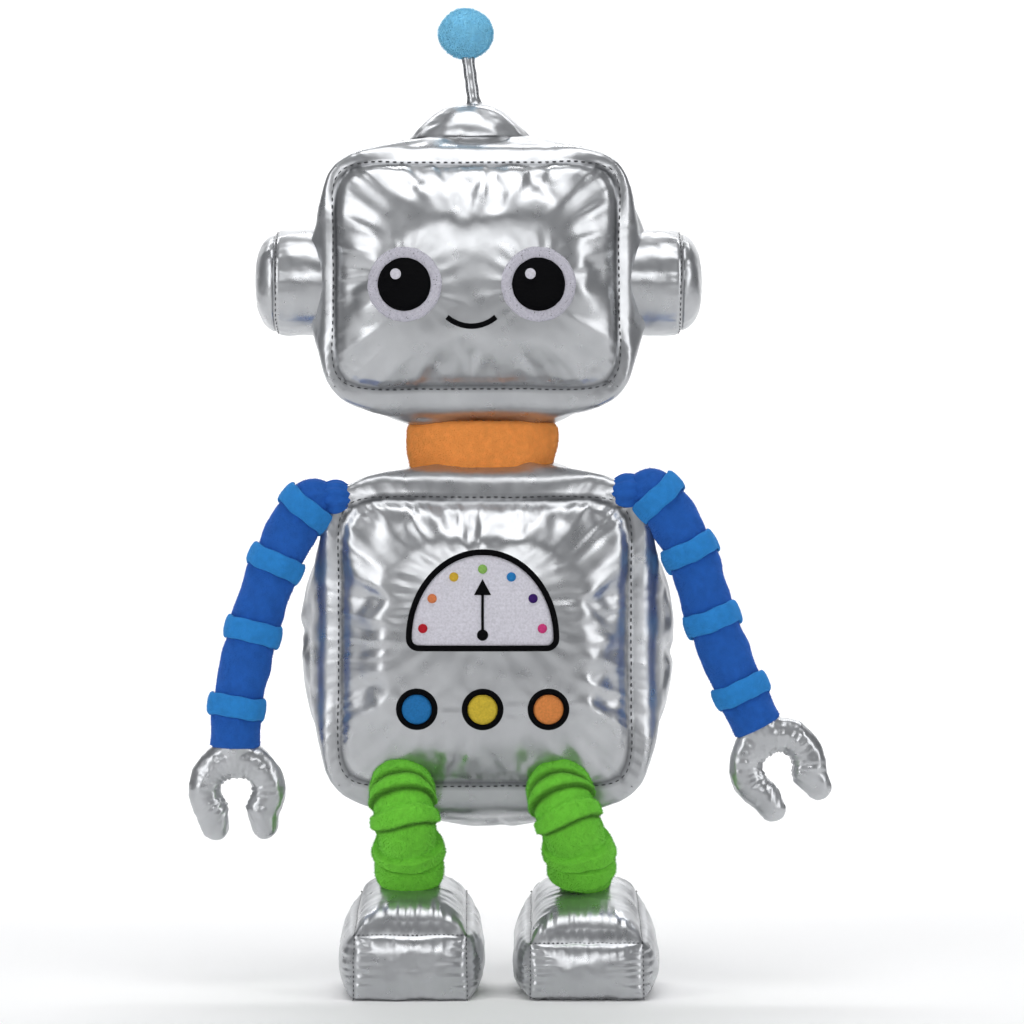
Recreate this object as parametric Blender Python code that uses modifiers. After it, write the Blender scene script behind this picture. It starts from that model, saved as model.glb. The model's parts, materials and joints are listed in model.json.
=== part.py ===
"""A plush toy robot, modelled piece by piece, in metres with +Z up.

It faces -Y and stands on its soles at Z = 0. Its own left side is at +X. The head, body and
feet are stuffed boxes sewn from foil panels, and the arms and legs are stuffed velboa tubes.
Each piece that moves has its parent empty on its joint's axis.
"""
import math

import bmesh
import bpy
from mathutils import Matrix, Vector

# Clearances and fabric
GAP = 0.0003              # between two pieces that are sewn or pressed together
TURN_GAP = 0.0009         # round a ball that turns in its seat
FABRIC = 0.0012           # a backed foil panel
PATCH = 0.0006            # an embroidered or applied patch
ROUNDNESS = 3.5           # of a stuffed box: 2 is an egg, 10 is nearly a brick
SHOE_ROUNDNESS = 6.0
CELLS = 6                 # facets along each edge of a stuffed box

# Feet
FOOT_WIDTH = 0.0725
FOOT_DEPTH = 0.0790
FOOT_HEIGHT = 0.0585
FOOT_Y = -0.0253          # the middle of a foot, forward of the body's middle
SOLE_CUT = 0.0035         # how much of the stuffed box is pressed flat under the sole
FOOT_X = {"right": -0.0372, "left": 0.0520}

# Legs, whose rolls are turned round a leaning axis
ROLL_RADIUS = 0.0168
WAIST_RADIUS = 0.0142
ANKLE_RADIUS = 0.0176
ANKLE_ABOVE_FOOT = 0.0030
LEG_DROP = 0.0425         # the hip's height above the ankle
LEG_ROLLS = 3             # rolls between the hip and the ankle
ROLL_START = 0.12         # of a roll's radius, below the hip
ANKLE_START = 0.45        # of the ankle's radius, above the ankle
ANKLE_FLARE = 20          # degrees of the ankle's ball that show above its middle
HIP_X = {"right": -0.0412, "left": 0.0392}
ANKLE_X = {"right": -0.0382, "left": 0.0490}
HIP_Y = -0.0420
ANKLE_Y = -0.0290
HIP_ABOVE_TORSO_BASE = 0.0195
HIP_SWING = (0, 20, 40, 60, 80)   # degrees forward, for the room that a leg needs

# Body
TORSO_WIDTH = 0.190
TORSO_DEPTH = 0.100
TORSO_HEIGHT = 0.191
TORSO_SEAM_INSET = 0.0105  # from the foremost point back to the front panel's seam

# Neck and head
NECK_WIDTH = 0.080
NECK_DEPTH = 0.052
NECK_GAP = 0.0142         # between the body's top and the head's lowest point
NECK_SINK = 0.0200        # how far the collar goes down inside the body
NECK_PIVOT_SINK = 0.0130  # the nod's axis, below the body's top
NECK_NOD = 18             # degrees, for the room that the collar needs
NECK_X = -0.0030
HEAD_X = -0.0047
HEAD_WIDTH = 0.177
HEAD_DEPTH = 0.104
HEAD_HEIGHT = 0.1512
HEAD_SEAM_INSET = 0.0115
CHIN_FLAT = 0.0036        # the head's underside is pressed flat this deep on the collar

# Ears, antenna
EAR_RADIUS = 0.0266
EAR_REACH = 0.0262
EAR_CAP_DEPTH = 0.0088
EAR_SINK = 0.0200         # the drum starts this far inside the head's widest point
EAR_TURN_IN = 0.0088      # how much narrower the cap's curve ends
EAR_CROWN = 0.72          # the cap's fullness
EAR_LIP = 0.02
DOME_RADIUS = 0.0300
DOME_RISE = 0.0175        # above the head's highest point
DOME_SINK = 0.0035        # the dome's edge, below the head's highest point
DOME_X = -0.0068
STALK_RADIUS = 0.0032
STALK_BALL_RADIUS = 0.0045
STALK_LENGTH = 0.0245
STALK_SINK = 0.15         # of the stalk's ball radius, below the dome's top
STALK_LEAN = 7.0          # degrees to the robot's right
BALL_RADIUS = 0.0150
BALL_SQUASH = 0.88
BALL_SEAT = 0.97          # of the soft ball's radius, from its centre to the stalk's end

# Face
EYE_RADIUS = 0.0192
PUPIL_RADIUS = 0.0139
EYE_SPACING = 0.0678
EYE_ABOVE_MIDDLE = -0.0033
MOUTH_RADIUS = 0.0188
MOUTH_HALF_ANGLE = 41.0
MOUTH_STROKE = 0.0025
MOUTH_BELOW_MIDDLE = 0.0245
FACE_X = -0.0078

# Gauge and buttons on the body
GAUGE_WIDTH = 0.0774
GAUGE_HEIGHT = 0.0512
GAUGE_BORDER = 0.0026
GAUGE_CORNER = 0.0062
GAUGE_BASE_ABOVE_MIDDLE = -0.0036
GAUGE_X = -0.0022
HUB_RADIUS = 0.0028
HUB_ABOVE_BASE = 0.0081
NEEDLE_LENGTH = 0.0283
ARROW_LENGTH = 0.0083
ARROW_HALF_WIDTH = 0.0044
NEEDLE_HALF_WIDTH = 0.0007
DOT_RADIUS = 0.0024
DOT_REACH_X = 0.0303
DOT_REACH_Z = 0.0322
DOT_RISE = 0.0010         # the arc's centre above the needle's hub
BUTTON_RADIUS = 0.0076
BUTTON_RING = 0.0104
BUTTON_SPACING = 0.0334
BUTTON_BELOW_MIDDLE = 0.0334

# Arms: the same sleeve in two bends
SLEEVE_RADIUS = 0.0130
SHOULDER_INSET = {"right": 0.0165, "left": 0.0226}  # in from the body's widest point
SHOULDER_BELOW_TOP = {"right": 0.0224, "left": 0.0190}
ARM_Y = -0.0270
SLEEVE_START = 0.0095     # the sleeve's seat on the shoulder ball
JOINT_INSET = 0.0006      # how much smaller a sleeve's ball is than the sleeve
SLEEVE_OVERRUN = 1.03     # the sleeve's line goes on past the wrist before it is cut
SHOULDER_CLEAR = 0.0288   # the room in the body round the shoulder
PRESS_CLEAR = 0.0035      # between the sleeve's second band and the flat in the body's side
ELBOW_AT = 0.0655         # along the sleeve from the shoulder
WRIST_AT = 0.1460
ELBOW_OPEN = 0.0115       # the upper sleeve stops this far above the elbow's centre
WRIST_OPEN = 0.0045
BAND_AT = (0.0155, 0.0480, 0.0850, 0.1245)
BAND_LENGTH = 0.0104
BAND_RADIUS = 0.0152
ARM_STEPS = 22
# The sleeve's direction, in degrees out from straight down, at places along its length
ARM_BEND = {
    "right": ((0.0, 86), (0.013, 64), (0.026, 26), (0.048, 20), (0.085, 17), (0.122, 8), (0.146, -2)),
    "left": ((0.0, 94), (0.013, 72), (0.026, 28), (0.048, 20), (0.085, 16), (0.122, 27), (0.146, 26)),
}

# Claw hands
CLAW_ARC_RADIUS = 0.0158
CLAW_TUBE = 0.0083
CLAW_ARC_BELOW_WRIST = 0.0240
CLAW_TIP_LENGTH = 0.0120
CLAW_OPEN_ANGLE = 50.0    # half the opening between the prongs, in degrees
PALM_RADIUS = 0.0118
PALM_TAPER = 0.94

FOIL = ((0.66, 0.68, 0.70, 1), 0.3, 0.9)
ORANGE_VELBOA = ((1.0, 0.36, 0.10, 1), 0.9, 0.0)
BLUE_VELBOA = ((0.03, 0.13, 0.55, 1), 0.9, 0.0)
BAND_VELBOA = ((0.06, 0.26, 0.68, 1), 0.9, 0.0)
GREEN_VELBOA = ((0.20, 0.68, 0.08, 1), 0.95, 0.0)
BALL_VELBOA = ((0.30, 0.66, 0.92, 1), 0.95, 0.0)
WHITE_THREAD = ((0.76, 0.74, 0.83, 1), 0.7, 0.0)
BLACK_THREAD = ((0.015, 0.015, 0.018, 1), 0.6, 0.0)
STUFFING = ((0.9, 0.9, 0.88, 1), 1.0, 0.0)
PELLETS = ((0.85, 0.85, 0.85, 1), 0.5, 0.0)
DOTS = (
    ("red", (0.60, 0.02, 0.04, 1)),
    ("orange", (0.88, 0.30, 0.12, 1)),
    ("yellow", (0.85, 0.55, 0.06, 1)),
    ("green", (0.36, 0.66, 0.15, 1)),
    ("blue", (0.03, 0.27, 0.68, 1)),
    ("purple", (0.06, 0.02, 0.18, 1)),
    ("pink", (0.78, 0.08, 0.28, 1)),
)
BUTTONS = (
    ("blue", (0.03, 0.24, 0.62, 1)),
    ("yellow", (0.85, 0.62, 0.06, 1)),
    ("orange", (0.95, 0.32, 0.10, 1)),
)
SIDES = {"right": -1, "left": 1}

# Places that follow from the sizes
ANKLE_Z = FOOT_HEIGHT + ANKLE_ABOVE_FOOT
HIP_Z = ANKLE_Z + LEG_DROP
TORSO_BASE = HIP_Z - HIP_ABOVE_TORSO_BASE
TORSO_TOP = TORSO_BASE + TORSO_HEIGHT
TORSO_CENTRE = Vector((0, 0, TORSO_BASE + TORSO_HEIGHT / 2))
TORSO_SIZE = Vector((TORSO_WIDTH, TORSO_DEPTH, TORSO_HEIGHT))
HEAD_BASE = TORSO_TOP + NECK_GAP
HEAD_CENTRE = Vector((HEAD_X, 0, HEAD_BASE + HEAD_HEIGHT / 2))
HEAD_SIZE = Vector((HEAD_WIDTH, HEAD_DEPTH, HEAD_HEIGHT))
HEAD_TOP = HEAD_BASE + HEAD_HEIGHT
NECK_PIVOT = Vector((NECK_X, 0, TORSO_TOP - NECK_PIVOT_SINK))
COLLAR_TOP = HEAD_BASE + CHIN_FLAT - GAP
DOME_TOP = HEAD_TOP + DOME_RISE
ANTENNA_PIVOT = Vector((DOME_X, 0, DOME_TOP - STALK_SINK * STALK_BALL_RADIUS))
STUFFING_INSET = FABRIC + GAP


def clear_scene():
    for obj in list(bpy.data.objects):
        bpy.data.objects.remove(obj, do_unlink=True)


def new_collection(name):
    collection = bpy.data.collections.new(name)
    bpy.context.scene.collection.children.link(collection)
    return collection


def make_material(name, look):
    colour, roughness, metallic = look
    material = bpy.data.materials.new(name)
    material.use_nodes = True
    shader = material.node_tree.nodes["Principled BSDF"]
    shader.inputs["Base Color"].default_value = colour
    shader.inputs["Roughness"].default_value = roughness
    shader.inputs["Metallic"].default_value = metallic
    material.diffuse_color = colour
    return material


clear_scene()
PARTS = new_collection("toy_robot")
CUTTERS = new_collection("cutters")


def piece(name, mesh, look):
    """One sub-part of the robot, with its own material."""
    obj = bpy.data.objects.new(name, mesh)
    mesh.materials.clear()
    mesh.materials.append(make_material(name, look))
    PARTS.objects.link(obj)
    return obj


def cutter(name, mesh):
    """A shape that only cuts or trims others."""
    obj = bpy.data.objects.new("cut_" + name, mesh)
    obj.hide_render = True
    obj.display_type = "WIRE"
    CUTTERS.objects.link(obj)
    return obj


def boolean(obj, other, operation):
    modifier = obj.modifiers.new(operation.lower() + "_" + other.name, "BOOLEAN")
    modifier.operation = operation
    modifier.solver = "EXACT"
    modifier.object = other


def cut(obj, *others):
    for other in others:
        boolean(obj, other, "DIFFERENCE")


def keep(obj, other):
    boolean(obj, other, "INTERSECT")


def join(obj, *others):
    for other in others:
        boolean(obj, other, "UNION")


def mesh_of(bm, smooth_angle=40):
    mesh = bpy.data.meshes.new("mesh")
    bm.to_mesh(mesh)
    bm.free()
    mesh.shade_smooth()
    mesh.set_sharp_from_angle(angle=math.radians(smooth_angle))
    return mesh


def stuffed_box(size, centre, swell=0.0, roundness=ROUNDNESS):
    """A box blown up by its stuffing: every face bulges and every corner is round."""
    bm = bmesh.new()
    bmesh.ops.create_cube(bm, size=2)
    bmesh.ops.subdivide_edges(bm, edges=bm.edges[:], cuts=CELLS - 1, use_grid_fill=True)
    half = [side / 2 + swell for side in size]
    for vert in bm.verts:
        reach = sum(abs(value) ** roundness for value in vert.co) ** (1 / roundness)
        vert.co = Vector([value / reach * side for value, side in zip(vert.co, half)]) + Vector(centre)
    bmesh.ops.triangulate(bm, faces=bm.faces, quad_method="FIXED")
    return mesh_of(bm)


def box(low, high):
    bm = bmesh.new()
    low = Vector(low)
    high = Vector(high)
    bmesh.ops.create_cube(bm, size=1)
    bmesh.ops.scale(bm, vec=high - low, verts=bm.verts)
    bmesh.ops.translate(bm, vec=(high + low) / 2, verts=bm.verts)
    return mesh_of(bm)


def ball(centre, radius, squash=1.0, segments=14):
    bm = bmesh.new()
    bmesh.ops.create_uvsphere(bm, u_segments=segments, v_segments=segments // 2 + 1, radius=radius)
    bmesh.ops.scale(bm, vec=(1, 1, squash), verts=bm.verts)
    bmesh.ops.translate(bm, vec=Vector(centre), verts=bm.verts)
    return mesh_of(bm)


def rod(start, end, radius, segments=16):
    """A round bar from start to end."""
    start = Vector(start)
    end = Vector(end)
    bm = bmesh.new()
    bmesh.ops.create_cone(bm, cap_ends=True, segments=segments, radius1=radius,
                          radius2=radius, depth=(end - start).length)
    turn = (end - start).to_track_quat("Z", "Y").to_matrix().to_4x4()
    bmesh.ops.transform(bm, matrix=Matrix.Translation((start + end) / 2) @ turn, verts=bm.verts)
    return mesh_of(bm)


def half_space(point, normal, reach=0.25):
    """Everything on the normal's side of a plane, as a large box."""
    normal = Vector(normal).normalized()
    bm = bmesh.new()
    bmesh.ops.create_cube(bm, size=reach)
    turn = normal.to_track_quat("Z", "Y").to_matrix().to_4x4()
    place = Matrix.Translation(Vector(point) + normal * reach / 2) @ turn
    bmesh.ops.transform(bm, matrix=place, verts=bm.verts)
    return mesh_of(bm)


def mesh_of_curve(curve):
    """The closed mesh of a curve object's data, with its loose caps welded."""
    obj = bpy.data.objects.new("curve", curve)
    bpy.context.scene.collection.objects.link(obj)
    bpy.context.view_layer.update()
    evaluated = obj.evaluated_get(bpy.context.evaluated_depsgraph_get())
    mesh = bpy.data.meshes.new_from_object(evaluated)
    bpy.data.objects.remove(obj, do_unlink=True)
    bm = bmesh.new()
    bm.from_mesh(mesh)
    bmesh.ops.remove_doubles(bm, verts=bm.verts, dist=1e-6)
    bmesh.ops.recalc_face_normals(bm, faces=bm.faces)
    return mesh_of(bm)


def tube(points, radius, resolution=3):
    """A round tube with flat ends along a line of points."""
    curve = bpy.data.curves.new("tube", "CURVE")
    curve.dimensions = "3D"
    curve.bevel_depth = radius
    curve.bevel_resolution = resolution
    curve.use_fill_caps = True
    spline = curve.splines.new("POLY")
    spline.points.add(len(points) - 1)
    for place, point in zip(spline.points, points):
        place.co = (*point, 1)
    return mesh_of_curve(curve)


def flat_outline(points, near, far):
    """A closed outline in X and Z, given thickness from near to far along Y."""
    curve = bpy.data.curves.new("outline", "CURVE")
    curve.dimensions = "2D"
    curve.fill_mode = "BOTH"
    curve.extrude = abs(far - near) / 2
    spline = curve.splines.new("POLY")
    spline.use_cyclic_u = True
    spline.points.add(len(points) - 1)
    for place, (x, z) in zip(spline.points, points):
        place.co = (x, z, 0, 1)
    mesh = mesh_of_curve(curve)
    upright = Matrix.Translation((0, (near + far) / 2, 0)) @ Matrix.Rotation(math.pi / 2, 4, "X")
    mesh.transform(upright)
    return mesh


def turned(name, profile, steps, look):
    """A turned piece: its profile (radius, height) runs top to bottom down the outer side."""
    bm = bmesh.new()
    verts = [bm.verts.new((radius, 0, height)) for radius, height in profile]
    for first, second in zip(verts, verts[1:]):
        bm.edges.new((first, second))
    mesh = bpy.data.meshes.new("mesh")
    bm.to_mesh(mesh)
    bm.free()
    obj = piece(name, mesh, look)
    screw = obj.modifiers.new("turn", "SCREW")
    screw.steps = steps
    screw.render_steps = steps
    screw.use_merge_vertices = True
    screw.merge_threshold = 1e-5
    return obj


def arc(centre, radius, start, end, steps):
    """Points on a circle in X and Z, with angles in degrees from +X towards +Z."""
    points = []
    for step in range(steps + 1):
        angle = math.radians(start + (end - start) * step / steps)
        points.append((centre[0] + radius * math.cos(angle), centre[1] + radius * math.sin(angle)))
    return points


def sewn_box(name, size, centre, seam_inset, cutters):
    """A stuffed box of front panel, gusset, back panel and stuffing, with the same cuts in each."""
    outer = cutter(name + "_room", stuffed_box(size, centre, -FABRIC))
    seam = size[1] / 2 - seam_inset
    reach = Vector(size)
    low = Vector(centre) - reach
    high = Vector(centre) + reach
    slabs = {
        "front_panel": (low.y, -seam - GAP / 2),
        "gusset": (-seam + GAP / 2, seam - GAP / 2),
        "back_panel": (seam + GAP / 2, high.y),
    }
    made = []
    for panel, (near, far) in slabs.items():
        obj = piece(name + "_" + panel, stuffed_box(size, centre), FOIL)
        cut(obj, outer)
        slab = box((low.x, near, low.z), (high.x, far, high.z))
        keep(obj, cutter(name + "_" + panel + "_slab", slab))
        made.append(obj)
    made.append(piece(name + "_stuffing", stuffed_box(size, centre, -STUFFING_INSET), STUFFING))
    for obj in made:
        cut(obj, *cutters)
    return made


class Surface:
    """The front of a sewn box, which patches are laid on in layers."""

    def __init__(self, name, size, centre):
        self.name = name
        self.size = size
        self.centre = centre
        self.front = centre.y - size[1]
        self.shapes = {}

    def layer(self, height):
        """The box's own shape, swollen to stand height proud."""
        key = round(height * 1e6)
        if key not in self.shapes:
            mesh = stuffed_box(self.size, self.centre, height)
            self.shapes[key] = cutter(f"{self.name}_layer_{key}", mesh)
        return self.shapes[key]

    def patch(self, name, mesh, look, level=0):
        """A flat patch that follows the surface; level counts the patches under it."""
        under = GAP + level * (PATCH + GAP)
        obj = piece(name, mesh, look)
        keep(obj, self.layer(under + PATCH))
        cut(obj, self.layer(under))
        return obj

    def disc(self, name, x, z, radius, look, level=0, hole=0.0, segments=18):
        mesh = rod((x, self.front, z), (x, self.centre.y, z), radius, segments)
        obj = self.patch(name, mesh, look, level)
        if hole:
            inner = rod((x, self.front - GAP, z), (x, self.centre.y + GAP, z), hole, segments)
            cut(obj, cutter(name + "_hole", inner))
        return obj


def world_place(pivot):
    place = Vector((0, 0, 0))
    while pivot:
        place += Vector(pivot.location)
        pivot = pivot.parent
    return place


def joint(parent, name, place):
    """The empty on a joint's axis, hung from the joint before it."""
    pivot = bpy.data.objects.new("pivot_" + name, None)
    pivot.empty_display_size = 0.02
    pivot.location = Vector(place) - world_place(parent)
    pivot.parent = parent
    PARTS.objects.link(pivot)
    return pivot


def hang(pivot, *pieces):
    """Parent pieces to a joint's empty without moving them."""
    for obj in pieces:
        obj.parent = pivot
        obj.matrix_parent_inverse = Matrix.Translation(world_place(pivot)).inverted()


def build_foot(side):
    """A foil shoe: a stuffed box with a flat sole, and a bag of pellets inside it."""
    size = Vector((FOOT_WIDTH, FOOT_DEPTH, FOOT_HEIGHT + SOLE_CUT))
    centre = Vector((FOOT_X[side], FOOT_Y, (FOOT_HEIGHT - SOLE_CUT) / 2))
    ankle = Vector((ANKLE_X[side], ANKLE_Y, ANKLE_Z))
    seat = cutter("ankle_seat_" + side, ball(ankle, ANKLE_RADIUS + TURN_GAP, segments=20))
    shell = piece("foot_shell_" + side, stuffed_box(size, centre, 0, SHOE_ROUNDNESS), FOIL)
    room = cutter("foot_room_" + side, stuffed_box(size, centre, -FABRIC, SHOE_ROUNDNESS))
    cut(room, cutter("insole_" + side, half_space((centre.x, centre.y, FABRIC), (0, 0, -1))))
    cut(shell, cutter("sole_" + side, half_space((centre.x, centre.y, 0), (0, 0, -1))), room, seat)
    bag = stuffed_box(size, centre, -STUFFING_INSET, SHOE_ROUNDNESS)
    pellets = piece("foot_pellets_" + side, bag, PELLETS)
    floor = half_space((centre.x, centre.y, STUFFING_INSET), (0, 0, -1))
    cut(pellets, cutter("pellet_floor_" + side, floor), seat)
    return [shell, pellets]


def leg_ends(side):
    hip = Vector((HIP_X[side], HIP_Y, HIP_Z))
    ankle = Vector((ANKLE_X[side], ANKLE_Y, ANKLE_Z))
    return hip, ankle


def hip_clearance(side):
    """The room that the leg sweeps in the body as it swings forward."""
    hip, ankle = leg_ends(side)
    room = cutter("hip_room_" + side, ball(hip, ROLL_RADIUS + TURN_GAP, segments=20))
    for angle in HIP_SWING:
        turn = Matrix.Rotation(-math.radians(angle), 3, "X")
        end = hip + turn @ (ankle - hip)
        way = rod(hip, end, ROLL_RADIUS + TURN_GAP, 20)
        join(room, cutter(f"hip_way_{side}_{angle}", way))
    return room


def build_leg(side):
    """A stuffed tube gathered into rolls, with a round end at the hip and at the ankle."""
    hip, ankle = leg_ends(side)
    length = (ankle - hip).length
    profile = []
    for step in range(7):
        angle = math.pi / 2 * (1 - step / 6)
        profile.append((ROLL_RADIUS * math.cos(angle), ROLL_RADIUS * math.sin(angle)))
    steps = 6 * (LEG_ROLLS - 1)
    start = ROLL_RADIUS * ROLL_START
    end = length - ANKLE_RADIUS * ANKLE_START
    for step in range(1, steps + 1):
        along = start + (end - start) * step / steps
        swing = abs(math.cos(math.pi * step / steps * (LEG_ROLLS - 1)))
        profile.append((WAIST_RADIUS + (ROLL_RADIUS - WAIST_RADIUS) * swing, -along))
    flare = math.radians(ANKLE_FLARE)
    for step in range(7):
        angle = flare - (math.pi / 2 + flare) * step / 6
        profile.append((ANKLE_RADIUS * math.cos(angle), -length + ANKLE_RADIUS * math.sin(angle)))
    profile[0] = (0, profile[0][1])
    profile[-1] = (0, profile[-1][1])
    leg = turned("leg_" + side, profile, 14, GREEN_VELBOA)
    leg.location = hip
    leg.rotation_mode = "QUATERNION"
    leg.rotation_quaternion = (hip - ankle).to_track_quat("Z", "Y")
    return leg


def arm_direction(side, along):
    """The sleeve's direction at a distance along it."""
    bends = ARM_BEND[side]
    angle = bends[-1][1]
    for (near, low), (far, high) in zip(bends, bends[1:]):
        if near <= along <= far:
            angle = low + (high - low) * (along - near) / (far - near)
    angle = math.radians(angle)
    return Vector((SIDES[side] * math.sin(angle), 0, -math.cos(angle)))


def arm_place(side, along):
    """A point on the sleeve's centre line, found by walking down it from the shoulder."""
    out = SIDES[side] * (TORSO_WIDTH / 2 - SHOULDER_INSET[side])
    place = Vector((out, ARM_Y, TORSO_TOP - SHOULDER_BELOW_TOP[side]))
    steps = 60
    for step in range(steps):
        place += arm_direction(side, along * (step + 0.5) / steps) * (along / steps)
    return place


def build_arm(side):
    """A sleeve in two lengths with balls at shoulder, elbow and wrist, and four padded bands."""
    overrun = WRIST_AT * SLEEVE_OVERRUN
    line = [arm_place(side, overrun * step / ARM_STEPS) for step in range(ARM_STEPS + 1)]
    shoulder = arm_place(side, 0)
    elbow = arm_place(side, ELBOW_AT)
    wrist = arm_place(side, WRIST_AT)
    seat = SLEEVE_RADIUS - JOINT_INSET
    cap = piece("shoulder_cap_" + side, ball(shoulder, seat), BLUE_VELBOA)
    upper = piece("upper_sleeve_" + side, tube(line, SLEEVE_RADIUS), BLUE_VELBOA)
    start = arm_place(side, SLEEVE_START)
    back = -arm_direction(side, SLEEVE_START)
    stop = arm_place(side, ELBOW_AT - ELBOW_OPEN)
    onward = arm_direction(side, ELBOW_AT)
    cut(upper, cutter("above_sleeve_" + side, half_space(start, back, 0.1)))
    cut(upper, cutter("shoulder_ball_" + side, ball(shoulder, seat + TURN_GAP)))
    cut(upper, cutter("below_upper_" + side, half_space(stop, onward)))
    cut(upper, cutter("elbow_ball_" + side, ball(elbow, seat + TURN_GAP)))
    lower = piece("lower_sleeve_" + side, tube(line, SLEEVE_RADIUS), BLUE_VELBOA)
    cut(lower, cutter("above_lower_" + side, half_space(elbow, -onward)))
    join(lower, cutter("elbow_end_" + side, ball(elbow, seat)))
    end = arm_place(side, WRIST_AT - WRIST_OPEN)
    cut(lower, cutter("below_lower_" + side, half_space(end, arm_direction(side, WRIST_AT))))
    cut(lower, cutter("wrist_ball_" + side, ball(wrist, PALM_RADIUS + TURN_GAP)))
    room = cutter("band_room_" + side, tube(line, SLEEVE_RADIUS + GAP))
    bands = []
    for number, along in enumerate(BAND_AT, 1):
        reach = arm_direction(side, along) * BAND_LENGTH / 2
        middle = arm_place(side, along)
        mesh = rod(middle - reach, middle + reach, BAND_RADIUS)
        band = piece(f"sleeve_band_{side}_{number}", mesh, BAND_VELBOA)
        cut(band, room)
        bands.append(band)
    return cap, upper, lower, bands


def build_claw(side):
    """A stuffed foil claw: a round palm and two prongs that bend towards each other."""
    wrist = arm_place(side, WRIST_AT)
    heading = arm_direction(side, WRIST_AT)
    across = Vector((-heading.z, 0, heading.x))
    middle = wrist + heading * CLAW_ARC_BELOW_WRIST
    ring = arc((0, 0), CLAW_ARC_RADIUS, CLAW_OPEN_ANGLE, 360 - CLAW_OPEN_ANGLE, 14)
    line = [middle + heading * x + across * z for x, z in ring]
    tips = []
    for along, aside in (ring[0], ring[-1]):
        tips.append(middle + heading * (along + CLAW_TIP_LENGTH) + across * aside)
    line = [tips[0]] + line + [tips[1]]
    claw = piece("claw_" + side, tube(line, CLAW_TUBE), FOIL)
    join(claw, cutter("wrist_end_" + side, ball(wrist, PALM_RADIUS)))
    inner = wrist + heading * (CLAW_ARC_BELOW_WRIST - CLAW_ARC_RADIUS)
    palm = rod(wrist, inner, PALM_RADIUS * PALM_TAPER)
    join(claw, cutter("palm_" + side, palm))
    return claw


def side_press(side):
    """The flat that the banded sleeve presses into the body's side as it swings past."""
    along = BAND_AT[1]
    middle = arm_place(side, along)
    heading = arm_direction(side, along)
    corner = BAND_RADIUS * abs(heading.z) + BAND_LENGTH / 2 * abs(heading.x)
    shoulder = arm_place(side, 0)
    start = Vector((middle.x - SIDES[side] * (corner + PRESS_CLEAR), shoulder.y, shoulder.z))
    reach = shoulder.z - middle.z + BAND_RADIUS
    return rod(start, start + Vector((SIDES[side] * TORSO_WIDTH / 2, 0, 0)), reach, 28)


def build_torso():
    """The body's panels, with seats for the collar, the shoulders and the hips."""
    reach = math.hypot(NECK_DEPTH / 2, NECK_PIVOT_SINK) + TURN_GAP
    half = NECK_WIDTH / 2 + TURN_GAP
    aside = Vector((half, 0, 0))
    seat = cutter("neck_seat", rod(NECK_PIVOT - aside, NECK_PIVOT + aside, reach, 48))
    tilt = math.radians(NECK_NOD)
    depth = (NECK_SINK - NECK_PIVOT_SINK) * math.cos(tilt) + NECK_DEPTH / 2 * math.sin(tilt)
    depth += TURN_GAP
    cut(seat, cutter("neck_seat_floor", half_space(NECK_PIVOT - Vector((0, 0, depth)), (0, 0, -1))))
    cutters = [seat]
    for side in SIDES:
        cutters.append(hip_clearance(side))
        room = ball(arm_place(side, 0), SHOULDER_CLEAR, segments=20)
        cutters.append(cutter("shoulder_room_" + side, room))
        cutters.append(cutter("side_press_" + side, side_press(side)))
    for obj in sewn_box("torso", TORSO_SIZE, TORSO_CENTRE, TORSO_SEAM_INSET, cutters):
        hang(BODY, obj)
    front = Surface("torso", TORSO_SIZE, TORSO_CENTRE)
    for obj in build_gauge(front) + build_buttons(front):
        hang(BODY, obj)


def gauge_outline(inset):
    """The gauge's edge: a half ellipse on a straight base with rounded corners."""
    half = GAUGE_WIDTH / 2 - inset
    corner = GAUGE_CORNER - inset
    base = TORSO_CENTRE.z + GAUGE_BASE_ABOVE_MIDDLE + inset
    height = GAUGE_HEIGHT - 2 * inset - corner
    points = []
    steps = 16
    for step in range(steps + 1):
        angle = math.pi * step / steps
        points.append((GAUGE_X + half * math.cos(angle), base + corner + height * math.sin(angle)))
    points += arc((GAUGE_X - half + corner, base + corner), corner, 180, 270, 3)[1:]
    points += arc((GAUGE_X + half - corner, base + corner), corner, 270, 360, 3)[:-1]
    return points


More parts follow.
